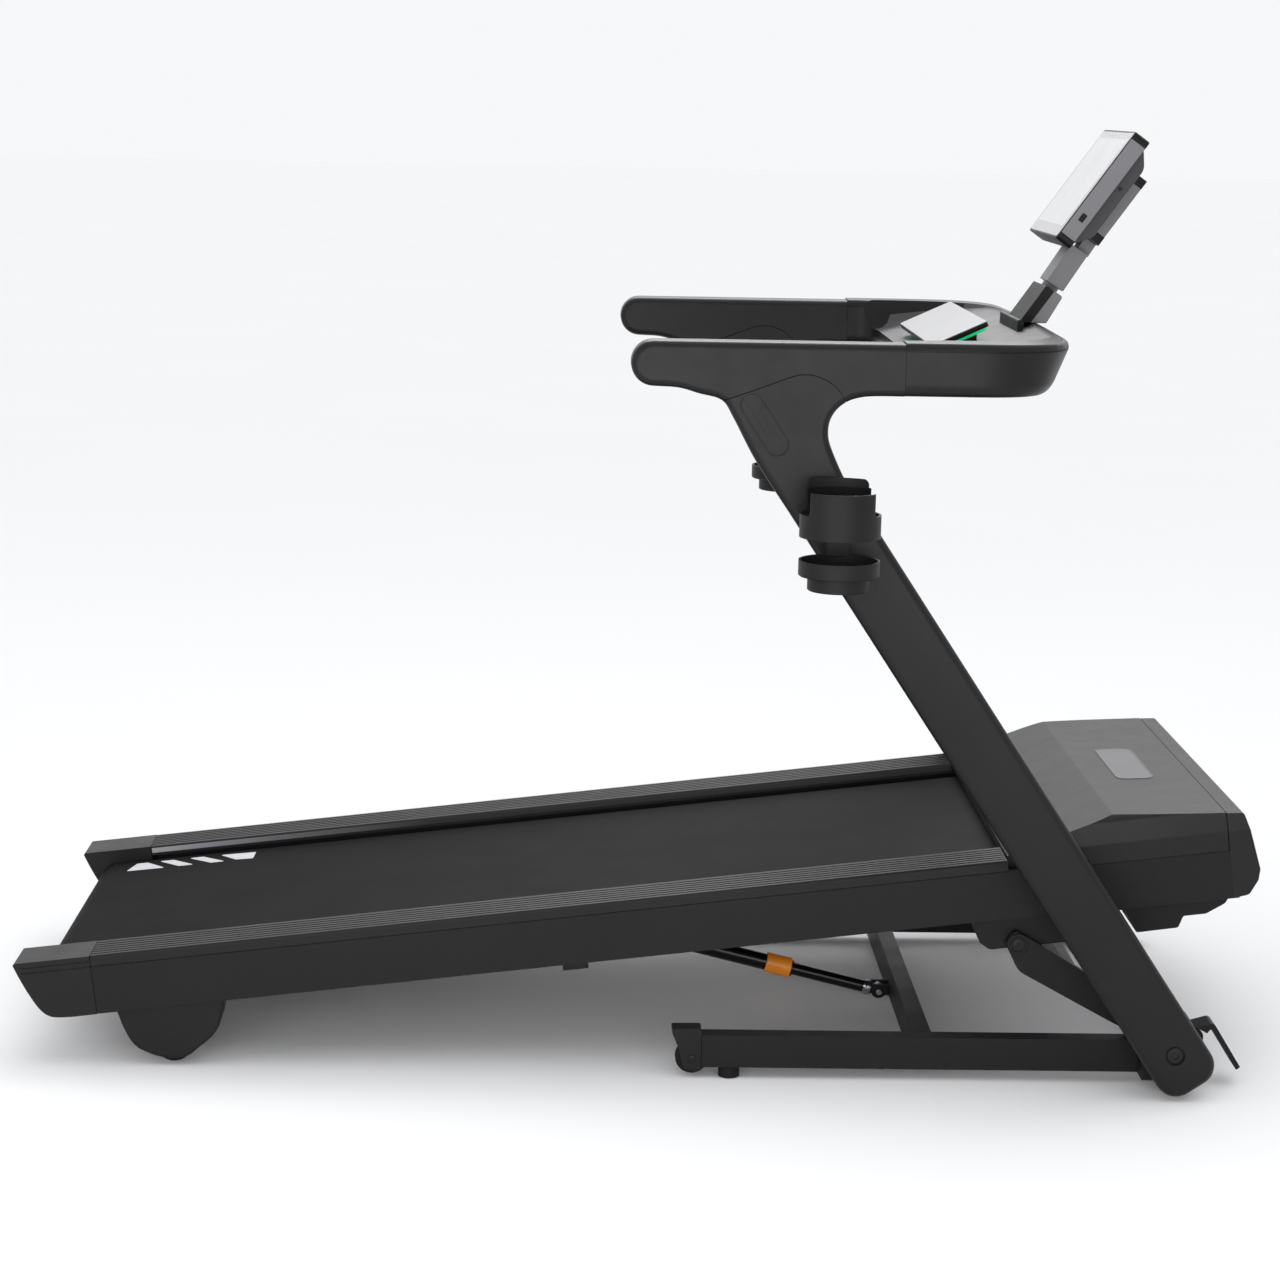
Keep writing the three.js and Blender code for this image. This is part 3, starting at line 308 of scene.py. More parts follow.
def prism(points, low, high, axis="Y"):
    """A bmesh solid: the outline run from low to high along an axis."""
    place = {"Y": lambda a, b, h: (a, h, b), "X": lambda a, b, h: (h, a, b), "Z": lambda a, b, h: (a, b, h)}[axis]
    bm = bmesh.new()
    points = clean(points)
    rings = [[bm.verts.new(Vector(place(p[0], p[1], h)) * MM) for p in points] for h in (low, high)]
    count = len(points)
    bm.faces.new(rings[0])
    bm.faces.new(rings[1])
    for i in range(count):
        j = (i + 1) % count
        bm.faces.new((rings[0][i], rings[0][j], rings[1][j], rings[1][i]))
    bmesh.ops.recalc_face_normals(bm, faces=bm.faces)
    return bm


def lathe(profile, sides=48, axis="Z", closed=False):
    """A bmesh solid of revolution from (radius, height) pairs."""
    bm = bmesh.new()
    rings = []
    for r, h in profile:
        if r < 1e-6:
            rings.append([bm.verts.new((0, 0, h * MM))])
            continue
        rings.append([bm.verts.new((r * math.cos(2 * math.pi * k / sides) * MM,
                                    r * math.sin(2 * math.pi * k / sides) * MM, h * MM)) for k in range(sides)])
    pairs = list(zip(rings, rings[1:]))
    if closed:
        pairs.append((rings[-1], rings[0]))
    for a, b in pairs:
        for k in range(sides):
            j = (k + 1) % sides
            quad = list(dict.fromkeys((a[k % len(a)], a[j % len(a)], b[j % len(b)], b[k % len(b)])))
            if len(quad) > 2:
                bm.faces.new(quad)
    bmesh.ops.recalc_face_normals(bm, faces=bm.faces)
    if axis == "Y":
        bmesh.ops.rotate(bm, verts=bm.verts, cent=(0, 0, 0), matrix=Matrix.Rotation(-math.pi / 2, 3, "X"))
    return bm


def shift(bm, x=0, y=0, z=0):
    bmesh.ops.translate(bm, verts=bm.verts, vec=Vector((x, y, z)) * MM)
    return bm


def raw(name, bm, matrix=None):
    """An object from a bmesh, which is used up."""
    mesh = bpy.data.meshes.new(name)
    bm.to_mesh(mesh)
    bm.free()
    obj = bpy.data.objects.new(name, mesh)
    if matrix is not None:
        mesh.transform(matrix)
    scene.collection.objects.link(obj)
    return obj


def settle(obj):
    """Bakes the modifiers into the mesh."""
    bpy.context.view_layer.update()
    mesh = bpy.data.meshes.new_from_object(obj.evaluated_get(bpy.context.evaluated_depsgraph_get()))
    mesh.name = obj.name
    obj.modifiers.clear()
    old = obj.data
    obj.data = mesh
    bpy.data.meshes.remove(old)
    return obj


def combine(obj, other, operation="DIFFERENCE"):
    """Cuts one solid with another, which is used up."""
    modifier = obj.modifiers.new("cut", "BOOLEAN")
    modifier.object = other
    modifier.operation = operation
    modifier.solver = "EXACT"
    settle(obj)
    bpy.data.objects.remove(other)
    return obj


def soften(obj, width, segments=3, angle=32):
    """Rounds the edges sharper than the angle (leaves them hard where width is 0), and shades the rest smoothly."""
    if width:
        bevel = obj.modifiers.new("bevel", "BEVEL")
        bevel.width = width * MM
        bevel.segments = segments
        bevel.limit_method = "ANGLE"
        bevel.angle_limit = math.radians(angle)
        bevel.use_clamp_overlap = True
    obj.data.polygons.foreach_set("use_smooth", [True] * len(obj.data.polygons))
    if not width:
        obj.data.set_sharp_from_angle(angle=math.radians(angle))
    weighted = obj.modifiers.new("normals", "WEIGHTED_NORMAL")
    weighted.keep_sharp = True
    weighted.weight = 80
    return settle(obj)


def finish(obj, body, look_name, stands_for=()):
    """Gives a piece its look and its body, and hides the CAD node it stands for."""
    obj.data.materials.clear()
    obj.data.materials.append(LOOKS[look_name] if isinstance(look_name, str) else look_name)
    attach(obj, body)
    stands_for = [stands_for] if isinstance(stands_for, str) else list(stands_for)
    if stands_for:
        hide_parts(*stands_for)
    return obj


BODY_OF = {n: body for body, members in frame["record"]["behaviour"]["bodies"].items() for n in members}


def from_cad(node, look_name, width, segments=2):
    """The CAD solid with its flat faces merged and its edges rounded."""
    obj = bpy.data.objects.new(node + "_look", nodes[node].data.copy())
    scene.collection.objects.link(obj)
    bm = bmesh.new()
    bm.from_mesh(obj.data)
    bmesh.ops.remove_doubles(bm, verts=bm.verts, dist=0.00002)
    bmesh.ops.dissolve_limit(bm, angle_limit=math.radians(1.0), verts=bm.verts, edges=bm.edges)
    bm.to_mesh(obj.data)
    bm.free()
    obj.data.materials.clear()
    soften(obj, width, segments)
    return finish(obj, BODY_OF[node], look_name, node)


# ------------------------------------------------------------------ uprights
def on_upright(s, t, *radius):
    """A point s mm up the upright from its bolt and t mm forward of its middle line, as (x, z)."""
    return (BASE_PIVOT[0] - s * math.cos(LEAN) + t * math.sin(LEAN),
            BASE_PIVOT[1] + s * math.sin(LEAN) + t * math.cos(LEAN), *radius)


def span(side, inner, outer):
    """The low and high y of a piece between two distances from the middle plane."""
    return sorted((side * inner, side * outer))


def bevel_rim(bm, width, segments):
    """Rounds the edges round both flat sides of a prism about Y."""
    rim = [e for e in bm.edges if abs(e.verts[0].co.y - e.verts[1].co.y) < 1e-7]
    bmesh.ops.bevel(bm, geom=rim, offset=width * MM, segments=segments, profile=0.5, affect="EDGES",
                    clamp_overlap=True)
    return bm


def slice_off(bm, point, normal):
    """Removes what lies beyond a plane and closes the cut."""
    result = bmesh.ops.bisect_plane(bm, geom=list(bm.verts) + list(bm.edges) + list(bm.faces),
                                    plane_co=Vector(point) * MM, plane_no=normal, clear_outer=True)
    edges = [g for g in result["geom_cut"] if isinstance(g, bmesh.types.BMEdge)]
    bmesh.ops.contextual_create(bm, geom=edges)
    return bm


def outward(points):
    """The outward normal at each point of a closed outline."""
    area = sum(a.x * b.y - b.x * a.y for a, b in zip(points, points[1:] + points[:1]))
    turn = 1 if area > 0 else -1
    normals = []
    for i, p in enumerate(points):
        a, b = (p - points[i - 1]).normalized(), (points[(i + 1) % len(points)] - p).normalized()
        n = Vector((a.y + b.y, -a.x - b.x)) * turn
        normals.append(n.normalized() * min(1.6, 2 / max(0.6, n.length)))
    return normals


def loft(levels):
    """A bmesh solid through rings of points that match one to one."""
    bm = bmesh.new()
    rings = [[bm.verts.new(Vector(p) * MM) for p in ring] for ring in levels]
    bm.faces.new(rings[0])
    bm.faces.new(rings[-1])
    for a, b in zip(rings, rings[1:]):
        for i in range(len(a)):
            j = (i + 1) % len(a)
            bm.faces.new((a[i], a[j], b[j], b[i]))
    bmesh.ops.recalc_face_normals(bm, faces=bm.faces)
    return bm


def pillow(points, low, high, radius, steps=6, inset=0.0):
    """A solid about Y with its two outer rims rounded, each ring drawn in along the outline's normals."""
    points = clean(points, 0.3)
    normals = outward(points)
    levels = []
    for k in range(steps + 1):
        angle = math.pi / 2 * k / steps
        levels.append((low + radius * (1 - math.cos(angle)), radius * (1 - math.sin(angle))))
    levels += [(low + high - y, drawn_in) for y, drawn_in in reversed(levels)]
    return loft([[(p.x - n.x * (d + inset), y, p.y - n.y * (d + inset)) for p, n in zip(points, normals)]
                 for y, d in levels])


INNER = 444          # the inner face of uprights, handrails and console sides
UPRIGHT_HALF = 48.4
UPRIGHT_OUT = 498
UPRIGHT_END = 1080
POD_START = 1039

for hand, side in SIDES:
    outline = rounded([on_upright(-66, -UPRIGHT_HALF, 34), on_upright(-66, UPRIGHT_HALF, 34),
                       on_upright(UPRIGHT_END, UPRIGHT_HALF), on_upright(UPRIGHT_END, -UPRIGHT_HALF)], 12)
    bm = pillow(outline, *span(side, INNER, UPRIGHT_OUT), 13)
    top = on_upright(POD_START - 0.4, 0)
    slice_off(bm, (top[0], 0, top[1]), (-math.cos(LEAN), 0, math.sin(LEAN)))
    upright = soften(raw(f"upright_{hand}_tube", bm), 0)
    bolt_bore = raw("bore", shift(lathe([(0, -4), (15.5, -4), (15.5, 4), (0, 4)], 40, "Y"),
                                  BASE_PIVOT[0], side * UPRIGHT_OUT, BASE_PIVOT[1]))
    combine(upright, bolt_bore)
    finish(upright, "base", "satin", f"upright_{hand}")
    head_profile = [(0, 0), (5.2, 0), (5.2, 2.2), (6.2, 2.2), (11.5, 1.6), (12.6, 0.4), (12.6, -3.6), (0, -3.6)]
    bolt = lathe(head_profile if side > 0 else [(r, -h) for r, h in head_profile], 36, "Y")
    shift(bolt, BASE_PIVOT[0], side * (UPRIGHT_OUT - 0.8), BASE_PIVOT[1])
    bolt = soften(raw(f"upright_bolt_{hand}", bolt), 0)
    finish(bolt, "base", "black_steel")


# ------------------------------------------------------------------ handrails and pods
HANDLE_OUT = 500
HANDLE_TOP = 1160.5
HANDLE_RADIUS = 33.75
HANDLE_END = (3, HANDLE_TOP - HANDLE_RADIUS)
PLATE = ((148, 1068.5), (186.5, 1011))
PLATE_RADIUS = 15.6
# the line between handrail and pod
SEAM = spline([(104, 1073.5), (152.5, 1090.5), (206, 1110.5), (223, 1113.8), (240, 1112.5), (261, 1104),
               (277, 1090), (287, 1073)], 6)


def arc(centre, radius, first, last, step):
    """Points round a centre, at whole degrees from first up to, but not including, last."""
    return [(centre[0] + radius * math.cos(a), centre[1] + radius * math.sin(a))
            for a in [math.radians(degrees) for degrees in range(first, last, step)]]


def handle_outline():
    """The handrail and its pod from the side, down to the top of the upright, as (x, z)."""
    back = arc(HANDLE_END, HANDLE_RADIUS, 90, 271, 10)
    rear = spline([back[-1], (40, 1091), (70, 1083), (104, 1073.5), (122, 1047), (155.6, 985.4),
                   on_upright(POD_START, -UPRIGHT_HALF), on_upright(1015, -UPRIGHT_HALF)], 6)
    front = spline([on_upright(1015, UPRIGHT_HALF), on_upright(POD_START, UPRIGHT_HALF), (267.3, 1006),
                    (262.5, 1026), (264.4, 1045), (273, 1061), (287, 1073), (305, 1080), (332, 1083),
                    (395, 1083)], 7)
    return clean(back + rear[1:] + front + [(395, HANDLE_TOP)], 0.4)


def below(lift):
    """What lies below the seam, moved up by lift."""
    return ([(p[0], p[1] + lift) for p in SEAM]
            + [(296, 1060), (345, 1040), (345, 850), (60, 850), (96, 1066 + lift)])


def band(path, width, low, high):
    """A thin curtain along a path, for cutting a groove."""
    left, right = [], []
    for i, p in enumerate(path):
        a, b = Vector(path[max(0, i - 1)]), Vector(path[min(len(path) - 1, i + 1)])
        normal = Vector((-(b - a).y, (b - a).x)).normalized() * width / 2
        left.append(Vector(p) + normal)
        right.append(Vector(p) - normal)
    return prism(left + right[::-1], low, high)


def groove_round(centres, radius, width, low, high):
    """A ring round a slot's outline, for cutting a groove."""
    (ax, az), (bx, bz) = centres
    lean = math.atan2(bz - az, bx - ax)
    path = []
    for cx, cz, start in ((bx, bz, lean - math.pi / 2), (ax, az, lean + math.pi / 2)):
        for k in range(17):
            angle = start + math.pi * k / 16
            path.append((cx + radius * math.cos(angle), cz + radius * math.sin(angle)))
    outer, inner = [], []
    for i, p in enumerate(path):
        c = (bx, bz) if i < 17 else (ax, az)
        d = (Vector(p) - Vector(c)).normalized() * width / 2
        outer.append(Vector(p) + d)
        inner.append(Vector(p) - d)
    ring = raw("ring", prism(outer, low, high))
    return combine(ring, raw("core", prism(inner, low - 3, high + 3)))


def handle_solid(side, inner, outer, front, *rounding):
    """The whole handle between two distances from the middle plane, cut off at the upright and at its front."""
    bm = pillow(handle_outline(), *span(side, inner, outer), *rounding)
    end = on_upright(POD_START, 0)
    slice_off(bm, (front, 0, 0), (1, 0, 0))
    return slice_off(bm, (end[0], 0, end[1]), (math.cos(LEAN), 0, -math.sin(LEAN)))


for hand, side in SIDES:
    rail = raw(f"handrail_{hand}_grip", handle_solid(side, INNER, HANDLE_OUT, 373, 11))
    # a dark core inside, so that no light shows through the seam
    core = raw(f"handrail_core_{hand}", handle_solid(side, INNER + 6, HANDLE_OUT - 6, 371, 8, 3, 4.5))
    finish(soften(core, 0), "base", "black")
    pod = bpy.data.objects.new(f"handrail_pod_{hand}_cover", rail.data.copy())
    scene.collection.objects.link(pod)
    combine(rail, raw("seam", prism(below(0.7), *span(side, 435, 510))))
    combine(pod, raw("seam", prism(below(-0.7), *span(side, 435, 510))), "INTERSECT")
    line = [(400, 1151.2), *arc((3, 1126.8), 24.4, 90, 259, 12), (26, 1102.3)]
    for y in (HANDLE_OUT, INNER):
        combine(rail, raw("groove", band(line, 1.3, side * y - 1.3, side * y + 1.3)))
    face = side * HANDLE_OUT
    combine(pod, groove_round(PLATE, 16.7, 3.0, face - 3, face + 3))
    plate = arc(PLATE[0], PLATE_RADIUS, -34, 147, 10) + arc(PLATE[1], PLATE_RADIUS, 146, 327, 10)
    combine(pod, raw("plate", prism(plate, face - 0.7, face + 1.5)))
    for piece, node in ((rail, f"handrail_{hand}"), (pod, f"handrail_pod_{hand}")):
        soften(piece, 0)
        finish(piece, "base", "satin", node)


# ------------------------------------------------------------------ console
def bezier_outline(points, segments=12):
    """A closed outline with trimmed corners: (x, y) or (x, y, trim)."""
    out, count = [], len(points)
    for i, point in enumerate(points):
        corner = Vector(point[:2])
        trim = point[2] if len(point) > 2 else 0
        if not trim:
            out.append(corner)
            continue
        start = corner + (Vector(points[i - 1][:2]) - corner).normalized() * trim
        finish_at = corner + (Vector(points[(i + 1) % count][:2]) - corner).normalized() * trim
        for k in range(segments + 1):
            t = k / segments
            out.append(start * (1 - t) ** 2 + corner * 2 * t * (1 - t) + finish_at * t * t)
    return clean(out, 0.2)


REAR = 373.4
plan = bezier_outline([(REAR, -HANDLE_OUT), (631, -HANDLE_OUT, 150), (643, 0, 200), (631, HANDLE_OUT, 150),
                       (REAR, HANDLE_OUT), (REAR, INNER), (425, INNER, 45), (425, -INNER, 45), (REAR, -INNER)])
# the points on the rear faces are drawn in sideways only, so that these faces stay flat against the handrails
plan_normals = [Vector((0, math.copysign(1, n.y))) if p.x < REAR + 0.1 else n
                for p, n in zip(plan, outward(plan))]


def console_ring(z, inset):
    """The console's outline at a height, drawn in by inset and leaning in towards the bottom of its front."""
    ring = []
    for p, n in zip(plan, plan_normals):
        lean = 28 * max(0, (1151 - z) / 68) * max(0, n.x) ** 2
        q = p - n * (inset + lean)
        ring.append((q.x, q.y, z))
    return ring


DISH_RIM = 1162.4
LEVELS = [(1083, 16), (1084, 10.5), (1086.5, 6.2), (1090.5, 3), (1096, 1), (1102, 0), (1126, 0), (1149.8, 0),
          (1150.2, 1.3), (1151.4, 1.3), (1151.8, 0.1), (1155, 0.5), (1158.5, 1.9), (1161.2, 4.2), (1162.6, 7),
          (1163, 10)]
shell = raw("console_body", loft([console_ring(z, inset) for z, inset in LEVELS]))


def dish_ring(inset, height):
    """The outline of the hollow in the console's top, at a height that depends on x."""
    ring_plan = bezier_outline([(400, -441 + inset), (616 - inset, -441 + inset, 165), (627 - inset, 0, 200),
                                (616 - inset, 441 - inset, 165), (400, 441 - inset)])
    return [(p.x, p.y, height(p.x)) for p in ring_plan]


def dish_floor(x):
    return 1112 + (x - 425) * 0.232


def dish_part(share):
    """A height that is the given share of the way from the floor of the dish to its rim."""
    return lambda x: dish_floor(x) + (DISH_RIM - dish_floor(x)) * share


dish = loft([dish_ring(-3, lambda x: 1176), dish_ring(0, lambda x: DISH_RIM), dish_ring(2, dish_part(0.45)),
             dish_ring(7, dish_part(0.16)), dish_ring(17, dish_part(0.03)), dish_ring(30, dish_floor)])
combine(shell, raw("dish", dish))
combine(shell, raw("key_slot", prism([(415, 1086), (441, 1086), (441, 1098), (415, 1098)], -160, -140)))
soften(shell, 0)
finish(shell, "base", "satin", "console_shell")
shell.data.materials.append(LOOKS["console_top"])
for face in shell.data.polygons:
    c = face.center / MM
    inside_dish = abs(c.y) < 440 and c.x > 424 and dish_floor(c.x) - 2 < c.z < DISH_RIM + 0.4
    if inside_dish and face.normal.z > 0.3:
        face.material_index = 1

rest = prism([(462, 1112), (520, 1112), (520, 1156), (462, 1129.5)], -180, 180)
finish(soften(raw("panel_rest", rest), 2, 3), "base", "black")
pad = prism(rounded([(595, 1150), (603, 1150), (606, 1163.2), (602.5, 1170, 3), (596, 1173, 3)], 5), -100, 100)
finish(soften(raw("post_pad", pad), 1.5, 3), "base", "satin")

PANEL = Matrix.Translation((0.442, 0, 1.138)) @ Matrix.Rotation(-math.radians(24.6), 4, "Y")


def box(a0, a1, b0, b1, radius=0, segments=6):
    """A rectangle with rounded corners."""
    return rounded([(a0, b0, radius), (a1, b0, radius), (a1, b1, radius), (a0, b1, radius)], segments)


panel_body = raw("console_panel_body", prism(box(0, 95.5, -225, 225, 7), -9, -1.6, "Z"), PANEL)
finish(soften(panel_body, 1.6, 3), "base", "black", "console_panel")
panel_face = raw("console_panel_face", prism(box(0.8, 94.7, -224.2, 224.2, 6), -1.8, 0, "Z"), PANEL)
soften(panel_face, 0.7, 2)
light_bar = raw("console_light_bar", prism(box(4, 92.5, -219, 219, 14, 8), -14, -9.3, "Z"), PANEL)
soften(light_bar, 0.6, 2)


def panel_glass(name, base, rough):
    """Coated glass with a faint drift."""
    n = Nodes(name)
    where = n.place()
    slow = n.noise(6, 3, 0.5, where)
    fine = n.noise(300, 2, 0.5, where)
    color = n.ramp(slow, drift(base, 0.9, 1.06))
    return n.set(color=color, rough=n.spread(slow, rough - 0.03, rough + 0.05), normal=n.bump(fine, 0.00001, 0.3),
                 coat=0.6, coat_rough=0.06, specular=0.5)


def glowing(name, color, strength):
    """A light bar that shines by itself."""
    n = Nodes(name)
    slow = n.noise(40, 3, 0.5, n.place())
    tone = n.ramp(slow, [(0.3, tuple(c * 0.8 for c in color)), (0.7, color)])
    return n.set(color=tone, emit=tone, emit_strength=strength, rough=0.25)


finish(panel_face, "base", panel_glass("panel_glass", (0.25, 0.247, 0.26), 0.30))
finish(light_bar, "base", glowing("green_light", (0.0, 0.42, 0.15), 0.9), "console_light_strip")
from_cad("safety_key", "red", 1.5, 3)


# ------------------------------------------------------------------ cup holders
def cup(hand, side):
    """A cup holder: a body with a foot, windows under its band and two notches, a tab and a bracket."""
    cx, cy = 277.3, side * 566
    sides = 96
    window_low, window_high = 850, 884
    body = lathe([(44, 805), (46, 806.5), (46, 826), (58, 826.4), (59.7, 828), (59.7, 951.2), (59.2, 952),
                  (56.7, 952), (56.2, 951.2), (56.2, 833), (55, 832), (0.0001, 832), (0.0001, 805)], sides, "Z")
    obj = raw(f"cup_holder_{hand}_body", shift(body, cx, cy))

    def window(x0, x1, y0, y1):
        depth = sorted((cy + y0 * side, cy + y1 * side))
        return raw("window", prism(box(x0, x1, window_low, window_high), *depth))

    for end in (-1, 1):
        notch = box(*sorted((cx + end * 47, cx + end * 75)), 918, 975, 5)
        combine(obj, raw("notch", prism(notch, cy - 80, cy + 80)))
    combine(obj, window(cx - 70, cx + 70, 8, 80))
    for end in (-1, 1):
        combine(obj, window(*sorted((cx + end * 19, cx + end * 70)), -80, 8.5))
    soften(obj, 0)
    finish(obj, "base", "plastic", f"cup_holder_{hand}")
    ring = lathe([(56.2, 930), (59.7, 930), (59.7, 963), (58.9, 964), (57, 964), (56.2, 963)], sides, "Z", True)
    tab = raw("tab", shift(ring, cx, cy))
    # only the part of the ring on the upright's side
    points = rounded([(cx - 44, 900), (cx + 44, 900), (cx + 44, 964.5, 8), (cx - 44, 964.5, 8)], 6)
    keep = raw("keep", prism(points, *sorted((cy - side * 8, cy - side * 90))))
    combine(tab, keep, "INTERSECT")
    tab.name = f"cup_holder_{hand}_tab"
    finish(soften(tab, 0.6, 2, 40), "base", "plastic")
    arm = prism(box(cx - 17, cx + 17, 846, 930, 4, 5), *span(side, UPRIGHT_OUT + 0.4, 511.5))
    finish(soften(raw(f"cup_holder_{hand}_bracket", arm), 1.5, 3), "base", "plastic")


for hand, side in SIDES:
    cup(hand, side)

# ------------------------------------------------------------------ deck, in its own frame: u along, w up
def belt_look():
    """Black belt with a fine diamond texture, and painted shade and sheen: darker at the rear, paler towards the
    motor.
    """
    n = Nodes("running_belt")
    where = n.place()
    split = n.add("ShaderNodeSeparateXYZ", {"Vector": where})
    # painted light: the colour runs from painted shade at the rear to painted sheen towards the motor
    painted_light_along = n.spread(split.outputs["X"], 0.0, 1.0, -0.9, 0.6)
    color = n.ramp(painted_light_along, [(0.0, (0.0022, 0.0022, 0.0026)), (0.45, (0.0042, 0.0041, 0.0048)),
                           (1.0, (0.012, 0.0118, 0.0132))])
    weave = n.add("ShaderNodeTexVoronoi", {"Vector": where, "Scale": 420.0}, feature="F1").outputs["Distance"]
    fine = n.noise(1300, 2, 0.6, where)
    height = n.add("ShaderNodeMath", {0: weave, 1: fine}, operation="ADD").outputs[0]
    slow = n.noise(9, 4, 0.6, where)
    return n.set(color=color, rough=n.spread(slow, 0.55, 0.66), normal=n.bump(height, 0.00012, 0.5), specular=0.05)


def painted_highlight_trim_look():
    """Glossy inner edge of the foot rail, with a painted highlight that is brightest at the rear."""
    n = Nodes("rail_trim")
    where = n.place()
    split = n.add("ShaderNodeSeparateXYZ", {"Vector": where})
    # painted highlight: the colour runs from bright at the rear to dark towards the front
    painted_light_along = n.spread(split.outputs["X"], 0.0, 1.0, -0.87, -0.35)
    color = n.ramp(painted_light_along, [(0.0, (0.30, 0.30, 0.32)), (0.4, (0.13, 0.13, 0.14)), (1.0, (0.018, 0.018, 0.02))])
    fine = n.noise(900, 2, 0.6, where)
    return n.set(color=color, rough=0.3, normal=n.bump(fine, 0.00006, 0.4), specular=0.5)


# the foot rails: across, up and along the deck
RAIL_IN, RAIL_OUT = 297, 385
RAIL_LOW, RAIL_SEAM, RAIL_HIGH = 48.5, 124.6, 142.3
RAIL_BACK, RAIL_END = -1445, -8


def rail_section(side):
    """The grooved tread from side to side, as (y, w)."""
    top = [(RAIL_IN + 2.5, RAIL_HIGH)]
    for k in range(6):
        y = RAIL_IN + 14 + 12.2 * k
        top += [(y - 2.3, RAIL_HIGH), (y - 1.0, RAIL_HIGH - 1.9), (y + 1.0, RAIL_HIGH - 1.9), (y + 2.3, RAIL_HIGH)]
    section = [(RAIL_IN, RAIL_SEAM + 0.9), (RAIL_OUT, RAIL_SEAM + 0.9), (RAIL_OUT, RAIL_HIGH - 3.4),
               (RAIL_OUT - 3.4, RAIL_HIGH)] + top[::-1] + [(RAIL_IN, RAIL_HIGH - 2.5)]
    return [(side * y, w) for y, w in section]


for hand, side in SIDES:
    tread = raw(f"foot_rail_{hand}_tread", prism(rail_section(side), RAIL_BACK + 0.7, RAIL_END, "X"), DECK)
    soften(tread, 0.5, 2, 20)
    finish(tread, "deck", "satin", f"foot_rail_{hand}")
    trim_low, trim_high = side * (RAIL_IN - 0.4), side * (RAIL_IN + 1)
    trim = prism([(trim_low, 130.4), (trim_high, 130.4), (trim_high, 139), (trim_low, 139)],
                 RAIL_BACK + 2, RAIL_END - 4, "X")
    trim = soften(raw(f"foot_rail_{hand}_trim", trim, DECK), 0.2, 1)
    # the far rail's trim carries the painted highlight; the near one is plain satin
    finish(trim, "deck", painted_highlight_trim_look() if side > 0 else "satin")
    heel = spline([(-1564.8, 139.5), (-1556, 115), (-1545, 89), (-1532, 65), (-1516, 51.5), (-1488, 48),
                   (-1470, 48)], 8)
    cover_side = clean([(RAIL_BACK, RAIL_LOW - 0.5), (RAIL_BACK, RAIL_HIGH), (-1562.5, RAIL_HIGH)] + heel, 0.5)
    cover = raw(f"rail_end_cover_{hand}_shell", prism(cover_side, *span(side, RAIL_IN, RAIL_OUT)), DECK)
    for w in (RAIL_SEAM + 0.3, 133.4):
        groove = prism([(-1552, w - 0.8), (-1552, w + 0.8), (RAIL_BACK + 5, w + 0.8), (RAIL_BACK + 5, w - 0.8)],
                       *sorted((side * (RAIL_OUT - 1.4), side * (RAIL_OUT + 2))))
        combine(cover, raw("groove", groove, DECK))
    axle = lathe([(0, -30), (9, -30), (9, 30), (0, 30)], 32, "Y")
    combine(cover, raw("axle", shift(axle, -1508, side * (RAIL_IN + 5), 95.8), DECK))
    soften(cover, 1.6, 3, 30)
    finish(cover, "deck", "satin", f"rail_end_cover_{hand}")

FOOT = spline([(-818, 95), (-803, 57), (-788, 33), (-769, 21), (-747, 14), (-726, 12), (-705, 16), (-688, 29),
               (-664, 51), (-653, 74), (-646, 115)], 8)
for hand, side in SIDES:
    foot = pillow([(p.x, p.y) for p in FOOT], *span(side, 318, 372), 5, 4)
    wheel_room = lathe([(0, -13), (31.5, -13), (31.5, 13), (0, 13)], 48, "Y")
    wheel_room = raw("room", shift(wheel_room, -729.56, side * 338, 30))
    foot = combine(raw(f"rear_foot_{hand}_body", foot), wheel_room)
    soften(foot, 0)
    finish(foot, "deck", "plastic", f"rear_foot_{hand}")

from_cad("running_belt", belt_look(), 0, 1)
DASHES = [[(-1478, 216), (-1466, 262), (-1447, 262), (-1411, 214)],
          [(-1426, 263), (-1401, 263), (-1360, 215), (-1386, 215)],
          [(-1373, 263), (-1348, 263), (-1305, 215), (-1330, 215)],
          [(-1317, 262), (-1254, 258), (-1255, 215), (-1286, 219)]]
for k, dash in enumerate(DASHES):
    mark = prism(rounded([(u, y, 2) for u, y in dash], 3), 122.0, 122.35, "Z")
    mark = soften(raw(f"belt_edge_mark_{k + 1}", mark, DECK), 0)
    finish(mark, "deck", "white_print")


# ------------------------------------------------------------------ hood
HOOD_SPLIT, HOOD_WIDE = 341.5, 362.2


def hood_section(low, top, inset=0.0):
    """The hood from the front, as (y, w)."""
    half = HOOD_WIDE - inset
    return rounded([(-half, low), (half, low), (half, 146, 22), (half - 7, top - 2, 16), (-half + 7, top - 2, 16),
                    (-half, 146, 22)], 8)


side_view = [(-6, 115.5), (HOOD_SPLIT, 115.5), (HOOD_SPLIT, 175.6), (166, 189.7), (-6, 144)]
hood = raw("motor_hood_shell", prism(side_view, -HOOD_WIDE - 4, HOOD_WIDE + 4), DECK)
combine(hood, raw("section", prism(hood_section(100, 192.5), -40, 400, "X"), DECK), "INTERSECT")
inside_view = [(-3, 90), (HOOD_SPLIT + 5, 90), (HOOD_SPLIT + 5, 172.3), (166.4, 186.6), (-3, 141.2)]
inside = raw("inside", prism(inside_view, -HOOD_WIDE + 3, HOOD_WIDE - 3), DECK)
combine(inside, raw("section", prism(hood_section(80, 189.4, 3), -40, 400, "X"), DECK), "INTERSECT")
combine(hood, inside)
mouth = raw("mouth", prism([(-20, 90), (30, 90), (30, 127), (-20, 127)], -292, 292), DECK)
combine(hood, mouth)
